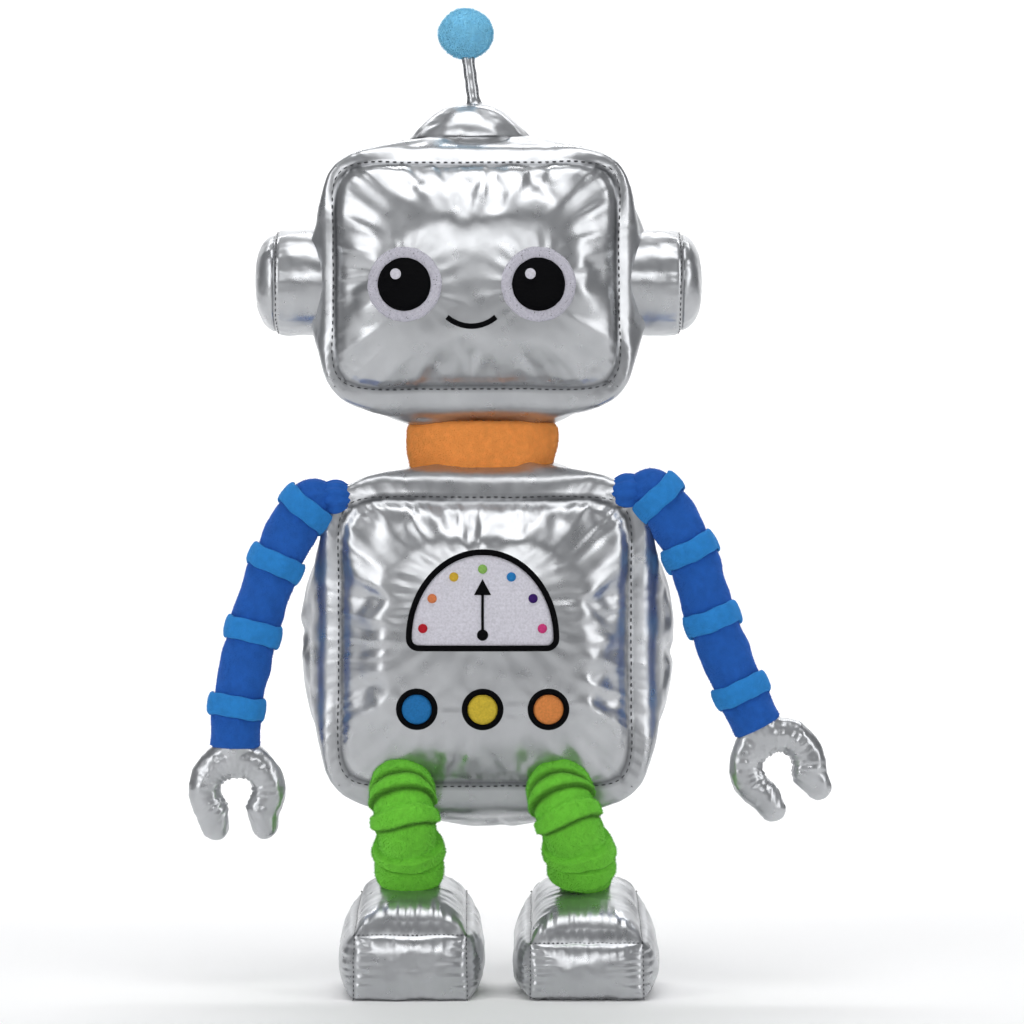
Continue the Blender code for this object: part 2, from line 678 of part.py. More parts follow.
def build_gauge(front):
    """A pale panel in a black border, a needle pointing up, and seven dots round it."""
    near = front.front
    far = front.centre.y
    field = flat_outline(gauge_outline(GAUGE_BORDER + GAP), near, far)
    made = [front.patch("gauge_field", field, WHITE_THREAD)]
    border = front.patch("gauge_border", flat_outline(gauge_outline(0), near, far), BLACK_THREAD)
    hole = flat_outline(gauge_outline(GAUGE_BORDER), near - GAP, far + GAP)
    cut(border, cutter("gauge_hole", hole))
    made.append(border)
    hub = TORSO_CENTRE.z + GAUGE_BASE_ABOVE_MIDDLE + HUB_ABOVE_BASE
    tip = hub + NEEDLE_LENGTH
    shoulder = tip - ARROW_LENGTH
    side = math.degrees(math.asin(NEEDLE_HALF_WIDTH / HUB_RADIUS))
    outline = arc((GAUGE_X, hub), HUB_RADIUS, 90 + side, 450 - side, 14)
    outline += [(GAUGE_X + NEEDLE_HALF_WIDTH, shoulder), (GAUGE_X + ARROW_HALF_WIDTH, shoulder)]
    outline += [(GAUGE_X, tip), (GAUGE_X - ARROW_HALF_WIDTH, shoulder)]
    outline += [(GAUGE_X - NEEDLE_HALF_WIDTH, shoulder)]
    made.append(front.patch("gauge_needle", flat_outline(outline, near, far), BLACK_THREAD, 1))
    for number, (colour, rgba) in enumerate(DOTS):
        angle = math.pi - math.radians(4 + number * 172 / (len(DOTS) - 1))
        x = GAUGE_X + DOT_REACH_X * math.cos(angle)
        z = hub + DOT_RISE + DOT_REACH_Z * math.sin(angle)
        look = (rgba, 0.6, 0.0)
        made.append(front.disc("gauge_dot_" + colour, x, z, DOT_RADIUS, look, 1, segments=12))
    return made


def build_buttons(front):
    """Three coloured discs, each inside a black ring."""
    made = []
    z = TORSO_CENTRE.z - BUTTON_BELOW_MIDDLE
    for number, (colour, rgba) in enumerate(BUTTONS):
        x = GAUGE_X + (number - 1) * BUTTON_SPACING
        made.append(front.disc("button_" + colour, x, z, BUTTON_RADIUS, (rgba, 0.6, 0.0)))
        ring = "button_ring_" + colour
        hole = BUTTON_RADIUS + GAP
        made.append(front.disc(ring, x, z, BUTTON_RING, BLACK_THREAD, 0, hole))
    return made


def build_neck():
    """The collar between the body and the head: a short stuffed tube, wider than it is deep."""
    low = TORSO_TOP - NECK_SINK
    mesh = rod((0, 0, low), (0, 0, COLLAR_TOP), 0.5, 32)
    mesh.transform(Matrix.Diagonal((NECK_WIDTH, NECK_DEPTH, 1, 1)))
    mesh.transform(Matrix.Translation((NECK_X, 0, 0)))
    return piece("neck_collar", mesh, ORANGE_VELBOA)


def build_head():
    """The head's panels, flat under the chin, with the face embroidered on the front."""
    chin = HEAD_BASE + CHIN_FLAT
    flat = cutter("chin", half_space((HEAD_X, 0, chin), (0, 0, -1)))
    made = sewn_box("head", HEAD_SIZE, HEAD_CENTRE, HEAD_SEAM_INSET, [flat])
    front = Surface("head", HEAD_SIZE, HEAD_CENTRE)
    for side, sign in SIDES.items():
        x = FACE_X + sign * EYE_SPACING / 2
        z = HEAD_CENTRE.z + EYE_ABOVE_MIDDLE
        made.append(front.disc("eye_white_" + side, x, z, EYE_RADIUS, WHITE_THREAD))
        made.append(front.disc("eye_pupil_" + side, x, z, PUPIL_RADIUS, BLACK_THREAD, 1))
    centre = (FACE_X, HEAD_CENTRE.z - MOUTH_BELOW_MIDDLE + MOUTH_RADIUS)
    low = 270 - MOUTH_HALF_ANGLE
    high = 270 + MOUTH_HALF_ANGLE
    outline = arc(centre, MOUTH_RADIUS + MOUTH_STROKE / 2, low, high, 12)
    outline += arc(centre, MOUTH_RADIUS - MOUTH_STROKE / 2, high, low, 12)
    made.append(front.patch("mouth", flat_outline(outline, front.front, front.centre.y), BLACK_THREAD))
    return made


def build_ear(side):
    """A stuffed drum on the side of the head, closed by a domed cap."""
    sign = SIDES[side]
    inner = HEAD_X + sign * (HEAD_WIDTH / 2 - EAR_SINK)
    end = HEAD_X + sign * (HEAD_WIDTH / 2 + EAR_REACH)
    seam = end - sign * EAR_CAP_DEPTH
    z = HEAD_CENTRE.z
    band = piece("ear_band_" + side, rod((inner, 0, z), (seam, 0, z), EAR_RADIUS, 20), FOIL)
    cut(band, cutter("ear_seat_" + side, stuffed_box(HEAD_SIZE, HEAD_CENTRE, GAP)))
    profile = [(0, EAR_CAP_DEPTH)]
    steps = 4
    for step in range(1, steps + 1):
        angle = math.pi / 2 * (1 - step / steps)
        radius = EAR_RADIUS - EAR_TURN_IN * (1 - math.cos(angle))
        height = GAP + (EAR_CAP_DEPTH - GAP) * (EAR_CROWN * math.sin(angle) + EAR_LIP)
        profile.append((radius, height))
    profile += [(EAR_RADIUS, GAP), (0, GAP)]
    cap = turned("ear_cap_" + side, profile, 20, FOIL)
    cap.matrix_world = Matrix.Translation((seam, 0, z)) @ Matrix.Rotation(sign * math.pi / 2, 4, "Y")
    return [band, cap]


def build_antenna():
    """A stuffed dome on the head, and a stalk with a soft ball on its end."""
    rise = DOME_RISE + DOME_SINK
    radius = (DOME_RADIUS ** 2 + rise ** 2) / (2 * rise)
    dome = piece("antenna_dome", ball((DOME_X, 0, DOME_TOP - radius), radius, segments=18), FOIL)
    cut(dome, cutter("dome_seat", stuffed_box(HEAD_SIZE, HEAD_CENTRE, GAP)))
    cut(dome, cutter("dome_base", half_space((DOME_X, 0, DOME_TOP - rise), (0, 0, -1))))
    cut(dome, cutter("stalk_seat", ball(ANTENNA_PIVOT, STALK_BALL_RADIUS + TURN_GAP)))
    lean = math.radians(STALK_LEAN)
    along = Vector((-math.sin(lean), 0, math.cos(lean)))
    tip = ANTENNA_PIVOT + along * STALK_LENGTH
    stalk = piece("antenna_stalk", rod(ANTENNA_PIVOT, tip, STALK_RADIUS, 14), FOIL)
    join(stalk, cutter("stalk_ball", ball(ANTENNA_PIVOT, STALK_BALL_RADIUS)))
    centre = tip + Vector((-math.sin(lean), 0, 1)) * BALL_RADIUS * BALL_SQUASH * BALL_SEAT
    soft = piece("antenna_ball", ball(centre, BALL_RADIUS, BALL_SQUASH), BALL_VELBOA)
    cut(stalk, cutter("under_ball", ball(centre, BALL_RADIUS + GAP, BALL_SQUASH)))
    return dome, [stalk, soft]


def centre_on_origin():
    """Move the whole robot so that its box stands centred on the origin."""
    bpy.context.view_layer.update()
    graph = bpy.context.evaluated_depsgraph_get()
    corners = []
    for obj in PARTS.objects:
        if obj.type == "MESH":
            evaluated = obj.evaluated_get(graph)
            corners += [evaluated.matrix_world @ vert.co for vert in evaluated.data.vertices]
    for axis in range(2):
        values = [corner[axis] for corner in corners]
        shift = -(min(values) + max(values)) / 2
        BODY.location[axis] += shift
        for obj in CUTTERS.objects:
            obj.location[axis] += shift
    bpy.context.view_layer.update()


BODY = joint(None, "body", (0, 0, 0))
build_torso()
neck_nod = joint(BODY, "neck_nod", NECK_PIVOT)
hang(neck_nod, build_neck())
head_turn = joint(neck_nod, "head_turn", (NECK_X, 0, COLLAR_TOP))
hang(head_turn, *build_head())
dome, antenna = build_antenna()
hang(head_turn, dome)
hang(joint(head_turn, "antenna_sway", ANTENNA_PIVOT), *antenna)
for side in SIDES:
    hang(head_turn, *build_ear(side))
    cap, upper, lower, bands = build_arm(side)
    shoulder_swing = joint(BODY, "shoulder_swing_" + side, arm_place(side, 0))
    hang(shoulder_swing, cap)
    shoulder_lift = joint(shoulder_swing, "shoulder_lift_" + side, arm_place(side, 0))
    hang(shoulder_lift, upper, *bands[:2])
    elbow = joint(shoulder_lift, "elbow_" + side, arm_place(side, ELBOW_AT))
    hang(elbow, lower, *bands[2:])
    wrist = joint(elbow, "wrist_" + side, arm_place(side, WRIST_AT))
    hang(wrist, build_claw(side))
    hip, ankle = leg_ends(side)
    hip_swing = joint(BODY, "hip_" + side, hip)
    hang(hip_swing, build_leg(side))
    foot = joint(hip_swing, "ankle_" + side, ankle)
    hang(foot, *build_foot(side))
centre_on_origin()
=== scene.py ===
import json
import math

import bmesh
import bpy
import numpy as np
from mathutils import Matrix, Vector
from mathutils.bvhtree import BVHTree


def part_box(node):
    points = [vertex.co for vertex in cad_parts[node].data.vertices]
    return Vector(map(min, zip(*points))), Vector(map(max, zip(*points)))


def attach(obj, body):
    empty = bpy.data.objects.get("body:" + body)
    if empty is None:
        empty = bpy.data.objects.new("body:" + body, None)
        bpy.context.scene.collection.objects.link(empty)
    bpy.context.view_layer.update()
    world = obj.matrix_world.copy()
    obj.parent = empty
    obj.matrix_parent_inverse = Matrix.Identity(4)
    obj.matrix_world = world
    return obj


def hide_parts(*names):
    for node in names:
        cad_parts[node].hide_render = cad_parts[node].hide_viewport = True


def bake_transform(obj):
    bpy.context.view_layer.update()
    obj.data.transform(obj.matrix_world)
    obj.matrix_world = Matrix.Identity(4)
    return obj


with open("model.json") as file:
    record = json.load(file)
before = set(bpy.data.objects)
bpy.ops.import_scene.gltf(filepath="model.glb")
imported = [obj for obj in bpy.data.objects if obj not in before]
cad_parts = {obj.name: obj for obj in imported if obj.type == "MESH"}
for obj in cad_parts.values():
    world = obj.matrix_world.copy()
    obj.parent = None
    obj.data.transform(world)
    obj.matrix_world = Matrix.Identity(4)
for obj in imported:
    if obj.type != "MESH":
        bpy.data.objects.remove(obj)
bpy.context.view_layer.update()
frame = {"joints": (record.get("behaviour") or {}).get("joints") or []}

# ---------------------------------------------------------------------------------------------
# The table top it stands on, the lights and the camera. A pale sweep runs up behind the toy.
# Large soft lights stand at both sides, above and in front, because the foil shows them.
# ---------------------------------------------------------------------------------------------
WORLD_GREY = (0.40, 0.41, 0.43, 1)
CAMERA_DISTANCE = 1.75
CAMERA_HEIGHT = 0.278
CAMERA_DIP = 1.05          # degrees below level
CAMERA_WIDTH = 0.5325      # what the frame takes in at the toy

world = bpy.data.worlds.new("studio")
bpy.context.scene.world = world
world.use_nodes = True
world.node_tree.nodes["Background"].inputs["Color"].default_value = WORLD_GREY
world.node_tree.nodes["Background"].inputs["Strength"].default_value = 0.42


def new_mesh_object(name, mesh):
    obj = bpy.data.objects.new(name, mesh)
    bpy.context.scene.collection.objects.link(obj)
    return obj


def build_sweep():
    """A floor that curves up into a back wall."""
    profile = [(-2.8, 0.0), (2.1, 0.0)]
    for step in range(1, 9):
        angle = math.pi / 2 * step / 8
        profile.append((2.1 + 0.5 * math.sin(angle), 0.5 - 0.5 * math.cos(angle)))
    profile.append((2.6, 3.0))
    bm = bmesh.new()
    rows = []
    for y, z in profile:
        rows.append([bm.verts.new((x, y, z)) for x in (-3.2, 3.2)])
    for near, far in zip(rows, rows[1:]):
        bm.faces.new((near[0], near[1], far[1], far[0]))
    mesh = bpy.data.meshes.new("sweep")
    bm.to_mesh(mesh)
    bm.free()
    mesh.shade_smooth()
    obj = new_mesh_object("sweep", mesh)
    material = bpy.data.materials.new("pale paper")
    material.use_nodes = True
    shader = material.node_tree.nodes["Principled BSDF"]
    shader.inputs["Base Color"].default_value = (0.93, 0.93, 0.93, 1)
    shader.inputs["Roughness"].default_value = 0.9
    mesh.materials.append(material)


def soft_light(name, place, target, width, height, power):
    light = bpy.data.lights.new(name, "AREA")
    light.shape = "RECTANGLE"
    light.size = width
    light.size_y = height
    light.energy = power
    obj = bpy.data.objects.new(name, light)
    bpy.context.scene.collection.objects.link(obj)
    obj.location = place
    obj.rotation_euler = (Vector(target) - Vector(place)).to_track_quat("-Z", "Y").to_euler()


build_sweep()
soft_light("top box", (0.0, -0.35, 1.5), (0, 0, 0.3), 1.0, 0.7, 6.5)
soft_light("left box", (-1.25, -0.9, 0.75), (0, 0, 0.27), 0.55, 1.3, 6.5)
soft_light("right box", (1.3, -0.8, 0.7), (0, 0, 0.27), 0.5, 1.3, 5.5)
soft_light("front box", (-0.15, -2.3, 0.95), (0, 0, 0.28), 1.5, 0.45, 8)
soft_light("wall wash", (0.0, 1.3, 2.4), (0, 2.6, 0.6), 3.6, 0.6, 75)

camera = bpy.data.cameras.new("camera")
camera.lens = camera.sensor_width * CAMERA_DISTANCE / CAMERA_WIDTH
camera_object = bpy.data.objects.new("camera", camera)
camera_object.location = (0.0, -CAMERA_DISTANCE, CAMERA_HEIGHT)
camera_object.rotation_euler = (math.radians(90 - CAMERA_DIP), 0, 0)
bpy.context.scene.collection.objects.link(camera_object)
bpy.context.scene.camera = camera_object
bpy.context.scene.view_settings.view_transform = "Standard"
bpy.context.scene.view_settings.look = "None"


# ---------------------------------------------------------------------------------------------
# The foil cloth: woven polyester with a silver coating, satin rather than mirror bright. It
# creases where thread pulls it in, and small soft dents break up its shine.
# ---------------------------------------------------------------------------------------------
FOIL_COLOUR = (0.53, 0.54, 0.555)
FOIL_SHADE = (0.48, 0.49, 0.505)
# SEAM_SHADE is painted shade: the foil colour darkens towards it along each seam's dip.
SEAM_SHADE = (0.16, 0.165, 0.175)


class Nodes:
    """A short way to add and join a material's nodes."""

    prefix = "ShaderNode"

    def __init__(self, name):
        self.material = bpy.data.materials.new(name)
        self.material.use_nodes = True
        self.tree = self.material.node_tree
        self.shader = self.tree.nodes["Principled BSDF"]
        self.coordinates = self.tree.nodes.new("ShaderNodeTexCoord").outputs["Object"]

    def add(self, kind, inputs, **settings):
        """A node with these settings. An input is joined to a socket or given a value."""
        node = self.tree.nodes.new(self.prefix + kind)
        for key, value in settings.items():
            setattr(node, key, value)
        self.fill(node, inputs)
        return node

    def fill(self, node, inputs):
        for key, value in inputs.items():
            if isinstance(value, bpy.types.NodeSocket):
                self.tree.links.new(value, node.inputs[key])
            else:
                node.inputs[key].default_value = value

    def cover(self, inputs):
        """Give the shader its inputs, and hand over the finished material."""
        self.fill(self.shader, inputs)
        return self.material

    def noise(self, scale, detail=3.0, stretch=None):
        """Noise with so many features to the metre."""
        source = self.coordinates
        if stretch:
            source = self.add("Mapping", {"Vector": source, "Scale": stretch}).outputs["Vector"]
        inputs = {"Scale": scale, "Detail": detail, "Roughness": 0.5, "Vector": source}
        return self.add("TexNoise", inputs).outputs["Fac"]

    def between(self, value, low, high, out_low, out_high):
        inputs = {"Value": value, "From Min": low, "From Max": high,
                  "To Min": out_low, "To Max": out_high}
        return self.add("MapRange", inputs).outputs["Result"]

    def mix(self, factor, first, second):
        """From the first colour, which may be a socket, to the second."""
        first = (*first, 1) if isinstance(first, tuple) else first
        return self.add("Mix", {0: factor, 6: first, 7: (*second, 1)}, data_type="RGBA").outputs[2]

    def attribute(self, name):
        """A value that the mesh carries at each point, 0 where it has none."""
        return self.add("Attribute", {}, attribute_type="GEOMETRY", attribute_name=name).outputs["Fac"]

    def waves(self, name, pitch):
        """Round ridges side by side, one to each pitch along a value that the mesh carries."""
        turn = self.add("Math", {0: self.attribute(name), 1: 2 * math.pi / pitch}, operation="MULTIPLY")
        return self.add("Math", {0: turn.outputs["Value"]}, operation="SINE").outputs["Value"]

    def bump(self, height, depth, strength=1.0, under=None):
        inputs = {"Strength": strength, "Distance": depth, "Height": height}
        if under:
            inputs["Normal"] = under
        return self.add("Bump", inputs).outputs["Normal"]


def foil_material():
    nodes = Nodes("silver foil cloth")
    cloud = nodes.between(nodes.noise(55, 4), 0.35, 0.65, 0, 1)
    plain = nodes.mix(cloud, FOIL_SHADE, FOIL_COLOUR)
    dents = nodes.bump(nodes.noise(48, 2, (1.0, 1.0, 0.6)), 0.0009, 0.07)
    return nodes.cover({
        "Metallic": 0.88,
        # Painted shade: the mesh's seam mark darkens the colour in the seam dips.
        "Base Color": nodes.mix(nodes.attribute("crease_shade"), plain, SEAM_SHADE),
        "Roughness": nodes.between(nodes.noise(120, 5), 0.3, 0.7, 0.26, 0.34),
        "Normal": nodes.bump(nodes.noise(300, 3), 0.0002, 0.08, dents),
    })


FOIL = foil_material()


# ---------------------------------------------------------------------------------------------
# Sewn boxes: how the body, the head and the shoes are made. Flat panels are sewn edge to edge,
# turned and stuffed, so every face swells, every seam lies in a dip and the foil puckers there.
# ---------------------------------------------------------------------------------------------
def lattice_box(cells):
    """The surface of a block of cells: its points from -1 to 1 each way, and its quads."""
    index = {}
    points = []

    def corner(key):
        if key not in index:
            index[key] = len(points)
            points.append([2 * k / n - 1 for k, n in zip(key, cells)])
        return index[key]

    quads = []
    for axis in range(3):
        u, v = (axis + 1) % 3, (axis + 2) % 3
        for side in (0, cells[axis]):
            for i in range(cells[u]):
                for j in range(cells[v]):
                    quad = []
                    for di, dj in ((0, 0), (1, 0), (1, 1), (0, 1)):
                        key = [0, 0, 0]
                        key[axis] = side
                        key[u] = i + di
                        key[v] = j + dj
                        quad.append(corner(tuple(key)))
                    quads.append(quad if side else quad[::-1])
    return np.array(points), quads


def smooth_noise(points, scale, seed):
    """Gentle random values from -1 to 1, the same each run."""
    rng = np.random.default_rng(seed)
    total = np.zeros(len(points))
    for octave, share in ((1.0, 0.6), (2.1, 0.3), (4.3, 0.12)):
        for _ in range(7):
            way = rng.normal(size=3)
            way /= np.linalg.norm(way)
            phase = rng.uniform(0, 2 * math.pi)
            turn = octave * rng.uniform(0.7, 1.3) * 2 * math.pi / scale
            total += share * np.sin(points @ way * turn + phase) / 2.6
    return total


def bell(value, width):
    """1 at zero, and near 0 at twice the width."""
    return np.exp(-(value / width) ** 2)


def full_turn(count):
    return 2 * math.pi * np.arange(count) / count


def smooth_step(low, high, value):
    part = np.clip((value - low) / (high - low), 0, 1)
    return part * part * (3 - 2 * part)


def ripple(along, length, pitch, seed):
    """Uneven pleats along a seam of this length, about one to each pitch, from 0 to 1."""
    rng = np.random.default_rng(seed)
    base = max(3, round(length / pitch))
    wave = np.zeros(len(along))
    for spread in (-0.27, -0.11, 0.0, 0.14, 0.31):
        count = max(2, round(base * (1 + spread)))
        wave += np.sin(2 * math.pi * count * along / length + rng.uniform(0, 2 * math.pi))
    return np.clip(0.5 + wave / 4.4, 0, 1) ** 1.4


def mesh_from(name, points, faces, attributes=None):
    mesh = bpy.data.meshes.new(name)
    mesh.from_pydata([tuple(point) for point in points], [], faces)
    for key, values in (attributes or {}).items():
        mesh.attributes.new(key, "FLOAT", "POINT").data.foreach_set("value", values.astype(np.float32))
    mesh.validate()
    mesh.shade_smooth()
    return mesh


def closed_piece(name, points, faces, attributes=None, weld=False):
    """An object with all its faces turned outwards."""
    mesh = mesh_from(name, points, faces, attributes)
    bm = bmesh.new()
    bm.from_mesh(mesh)
    if weld:
        bmesh.ops.remove_doubles(bm, verts=bm.verts, dist=1e-6)
    bmesh.ops.recalc_face_normals(bm, faces=bm.faces)
    bm.to_mesh(mesh)
    bm.free()
    mesh.shade_smooth()
    return new_mesh_object(name, mesh)


def ring_faces(rings, size, closed=True):
    """Quads from each ring of points to the next, and from the last to the first if closed."""
    faces = []
    for k in range(rings if closed else rings - 1):
        j = (k + 1) % rings
        for m in range(size):
            n = (m + 1) % size
            faces.append((k * size + m, k * size + n, j * size + n, j * size + m))
    return faces


def points_of(mesh):
    flat = np.empty(len(mesh.vertices) * 3)
    mesh.vertices.foreach_get("co", flat)
    return flat.reshape(-1, 3)


def normals_of(mesh):
    flat = np.empty(len(mesh.vertices) * 3)
    mesh.vertex_normals.foreach_get("vector", flat)
    return flat.reshape(-1, 3)


def set_points(mesh, points):
    mesh.vertices.foreach_set("co", points.reshape(-1))
    mesh.update()


def push_out(obj, lift):
    """Move every point along its normal, each by its own distance."""
    set_points(obj.data, points_of(obj.data) + normals_of(obj.data) * lift[:, None])


def lump(obj, height, across, seed):
    """Filling that lies a little unevenly under the cloth."""
    push_out(obj, height * smooth_noise(points_of(obj.data), across, seed))


def values_of(mesh, key):
    flat = np.empty(len(mesh.vertices))
    mesh.attributes[key].data.foreach_get("value", flat)
    return flat


def mark(mesh, key, values):
    """Give every point of a mesh a value that a material can read."""
    if key not in mesh.attributes:
        mesh.attributes.new(key, "FLOAT", "POINT")
    mesh.attributes[key].data.foreach_set("value", np.asarray(values, dtype=np.float32))


def middle_between(low, high):
    return [(a + b) / 2 for a, b in zip(low, high)]


def evaluated_mesh(obj):
    bpy.context.view_layer.update()
    return bpy.data.meshes.new_from_object(obj.evaluated_get(bpy.context.evaluated_depsgraph_get()))


def bake_modifiers(obj):
    """Turn an object's modifiers into plain mesh."""
    mesh = evaluated_mesh(obj)
    obj.modifiers.clear()
    obj.data = mesh


def subdivide(obj):
    modifier = obj.modifiers.new("smooth", "SUBSURF")
    modifier.levels = 1
    modifier.render_levels = 1
    bake_modifiers(obj)


CLOTH_STIFFNESS = 18.0
CLOTH_FRAMES = 16
SEAM_DRAW = 0.04           # how much shorter a seam gets


def stuff(obj, pressure, most):
    """Blow the sewn cloth up with its filling, by no more than most, and draw its seams in."""
    start = points_of(obj.data)
    group = obj.vertex_groups.new(name="seams")
    seam = values_of(obj.data, "seam")
    for number in np.nonzero(seam > 0.5)[0]:
        group.add([int(number)], 1.0, "REPLACE")
    cloth = obj.modifiers.new("cloth", "CLOTH")
    settings = cloth.settings
    settings.quality = 5
    settings.mass = 0.15
    settings.tension_stiffness = CLOTH_STIFFNESS
    settings.compression_stiffness = CLOTH_STIFFNESS * 0.6
    settings.shear_stiffness = CLOTH_STIFFNESS * 0.35
    settings.bending_stiffness = 0.06
    settings.air_damping = 4.0
    settings.use_pressure = True
    settings.uniform_pressure_force = pressure
    settings.vertex_group_shrink = "seams"
    settings.shrink_min = 0.0
    settings.shrink_max = SEAM_DRAW
    settings.effector_weights.gravity = 0.0
    cloth.collision_settings.use_self_collision = False
    cloth.point_cache.frame_start = 1
    cloth.point_cache.frame_end = CLOTH_FRAMES
    scene = bpy.context.scene
    for frame_number in range(1, CLOTH_FRAMES + 1):
        scene.frame_set(frame_number)
    settled = points_of(evaluated_mesh(obj))
    obj.modifiers.clear()
    scene.frame_set(1)
    step = settled - start
    reach = np.linalg.norm(step, axis=1, keepdims=True)
    step *= np.minimum(1, most / np.maximum(reach, 1e-9))
    set_points(obj.data, start + step)


# ---------------------------------------------------------------------------------------------
# The body: a front panel, a gusset strip all round and a back panel, in silver foil cloth. The
# front and back panels have round corners, and a short slanting seam joins the gusset's strips.
# ---------------------------------------------------------------------------------------------
def boxy_skin(name, low, high, panel, seam_depth, crown, power, cells):
    """A stuffed box between two corners. panel is the front panel's low and high x and z."""
    low = np.array(low)
    high = np.array(high)
    unit, quads = lattice_box(cells)
    a, b, c = unit.T
    ring = np.maximum(np.abs(a), np.abs(c))
    safe = np.maximum(ring, 1e-9)
    side_a = a / safe
    side_c = c / safe
    mid_power, seam_power = power
    square = mid_power + (seam_power - mid_power) * np.abs(b) ** 4
    reach = np.maximum((np.abs(side_a) ** square + np.abs(side_c) ** square) ** (1 / square), 1e-9)
    across = side_a / reach
    up = side_c / reach
    full = (1 - np.abs(b) ** 4.5) ** 0.5
    swell = (1 - np.abs(b) ** 3) ** 0.62
    swell = swell + 0.55 * (full - swell) * smooth_step(0.3, 1.0, np.abs(side_c))
    panel_x = (panel[0] + panel[1]) / 2
    panel_z = (panel[2] + panel[3]) / 2
    middle_x = (low[0] + high[0]) / 2
    middle_z = (low[2] + high[2]) / 2
    half_x = (panel[1] - panel[0]) / 2 * (1 - swell) + (high[0] - low[0]) / 2 * swell
    half_z = (panel[3] - panel[2]) / 2 * (1 - swell) + (high[2] - low[2]) / 2 * swell
    centre_x = panel_x * (1 - swell) + middle_x * swell
    centre_z = panel_z * (1 - swell) + middle_z * swell
    x = centre_x + across * half_x * ring
    z = centre_z + up * half_z * ring
    u = (x - panel_x) / ((panel[1] - panel[0]) / 2)
    v = (z - panel_z) / ((panel[3] - panel[2]) / 2)
    rise = np.maximum(1 - np.abs(u) ** 2.5, 0) * np.maximum(1 - np.abs(v) ** 2.5, 0)
    face = ring < 1 - 1e-6
    middle_y = (low[1] + high[1]) / 2
    y = middle_y + np.sign(b) * (np.abs(b) * seam_depth + np.where(face, crown * rise ** 0.72, 0))
    points = np.stack([x, y, z], 1)
    edge = np.where(face, (1 - ring) * 0.5 * (panel[1] - panel[0]), (1 - np.abs(b)) * seam_depth)
    around = np.arctan2(side_c, side_a)
    on_seam = (np.abs(ring - 1) < 1e-6) & (np.abs(np.abs(b) - 1) < 1e-6)
    facts = {"edge": edge, "turn_x": np.cos(around), "turn_z": np.sin(around), "depth": b,
             "seam": on_seam.astype(float), "ring": ring}
    return new_mesh_object(name, mesh_from(name, points, quads, facts))


def pucker(obj, length, pitch, height, fade, dip, seed):
    """Dip the seams of a stuffed box and gather the foil on both sides of them."""
    mesh = obj.data
    points = points_of(mesh)
    edge = np.abs(values_of(mesh, "edge"))
    around = np.arctan2(values_of(mesh, "turn_z"), values_of(mesh, "turn_x"))
    along = (around / (2 * math.pi) + 0.5) * length
    front = values_of(mesh, "ring") < 0.999
    back = values_of(mesh, "depth") > 0
    pleats = np.where(front, ripple(along, length, pitch, seed), ripple(along, length, pitch, seed + 1))
    pleats = np.where(back, ripple(along, length, pitch, seed + 2), pleats)
    long_pleats = ripple(along, length, pitch * 3.1, seed + 3)
    reach = fade * (0.5 + 0.9 * long_pleats)
    lift = height * pleats * np.exp(-edge / reach) * (1 - np.exp(-edge / 0.0012))
    gusset = np.where(front, 1.0, 0.25)
    lift *= np.where(front, 1.0, 0.35)
    lift += height * 0.9 * gusset * (long_pleats - 0.4) * bell(edge - 0.016, 0.011)
    lift -= dip * bell(edge, 0.0028)
    lift += 0.0004 * smooth_noise(points, 0.060, seed + 4)
    lift += 0.00010 * smooth_noise(points, 0.020, seed + 5)
    push_out(obj, lift)
    # Painted shade: a mark that darkens the colour along each seam's dip.
    mark(mesh, "crease_shade", bell(edge, 0.0008))


def radiate(obj, centre, inner, fade, height, count, seed):
    """Creases that spread out from the edge of an embroidered patch."""
    points = points_of(obj.data)
    x = (points[:, 0] - centre[0]) / inner[0]
    z = (points[:, 2] - centre[1]) / inner[1]
    away = (np.sqrt(x * x + z * z) - 1) * min(inner)
    rays = ripple(np.arctan2(z, x) / (2 * math.pi) + 0.5, 1.0, 1.0 / count, seed) - 0.45
    facing = np.clip(-normals_of(obj.data)[:, 1], 0, 1) ** 2
    lift = height * rays * np.exp(-np.abs(away) / fade) * facing
    push_out(obj, lift * np.where(away < 0, 0.35, 1.0))


def finish_piece(obj, material, body, nodes=()):
    obj.data.materials.clear()
    obj.data.materials.append(material)
    obj.data.shade_smooth()
    if nodes:
        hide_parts(*nodes)
    if body:
        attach(obj, body)


torso_low, torso_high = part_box("torso_gusset")
BODY_EASE = 0.0012         # the filling pushes the gusset out past its pattern
torso_low = [value - BODY_EASE for value in torso_low]
torso_high = [value + BODY_EASE for value in torso_high]
torso_middle = middle_between(torso_low, torso_high)
TORSO_PANEL = (torso_middle[0] - 0.0775, torso_middle[0] + 0.0750, torso_middle[2] - 0.0745,
               torso_middle[2] + 0.0760)
TORSO_SEAM_Y = 0.0350
TORSO_CORNER = 9.0         # how square the front panel's corners are
body_skin = boxy_skin("body_cover", torso_low, torso_high, TORSO_PANEL, seam_depth=TORSO_SEAM_Y,
                      crown=0.0150, power=(2.6, TORSO_CORNER), cells=(48, 22, 48))
stuff(body_skin, pressure=3.0, most=0.004)
subdivide(body_skin)
pucker(body_skin, length=0.60, pitch=0.0058, height=0.0010, fade=0.0070, dip=0.0009, seed=21)
radiate(body_skin, (torso_middle[0], torso_middle[2] + 0.022), inner=(0.041, 0.028), fade=0.016,
        height=0.0005, count=26, seed=31)
BUTTON_SPACING = 0.0334
for spot in (-1, 0, 1):
    place = (torso_middle[0] + spot * BUTTON_SPACING, torso_middle[2] - 0.0334)
    radiate(body_skin, place, inner=(0.011, 0.011), fade=0.006, height=0.0004, count=12, seed=35 + spot)
body_nodes = ["torso_front_panel", "torso_gusset", "torso_back_panel", "torso_stuffing"]
finish_piece(body_skin, FOIL, "torso", body_nodes)

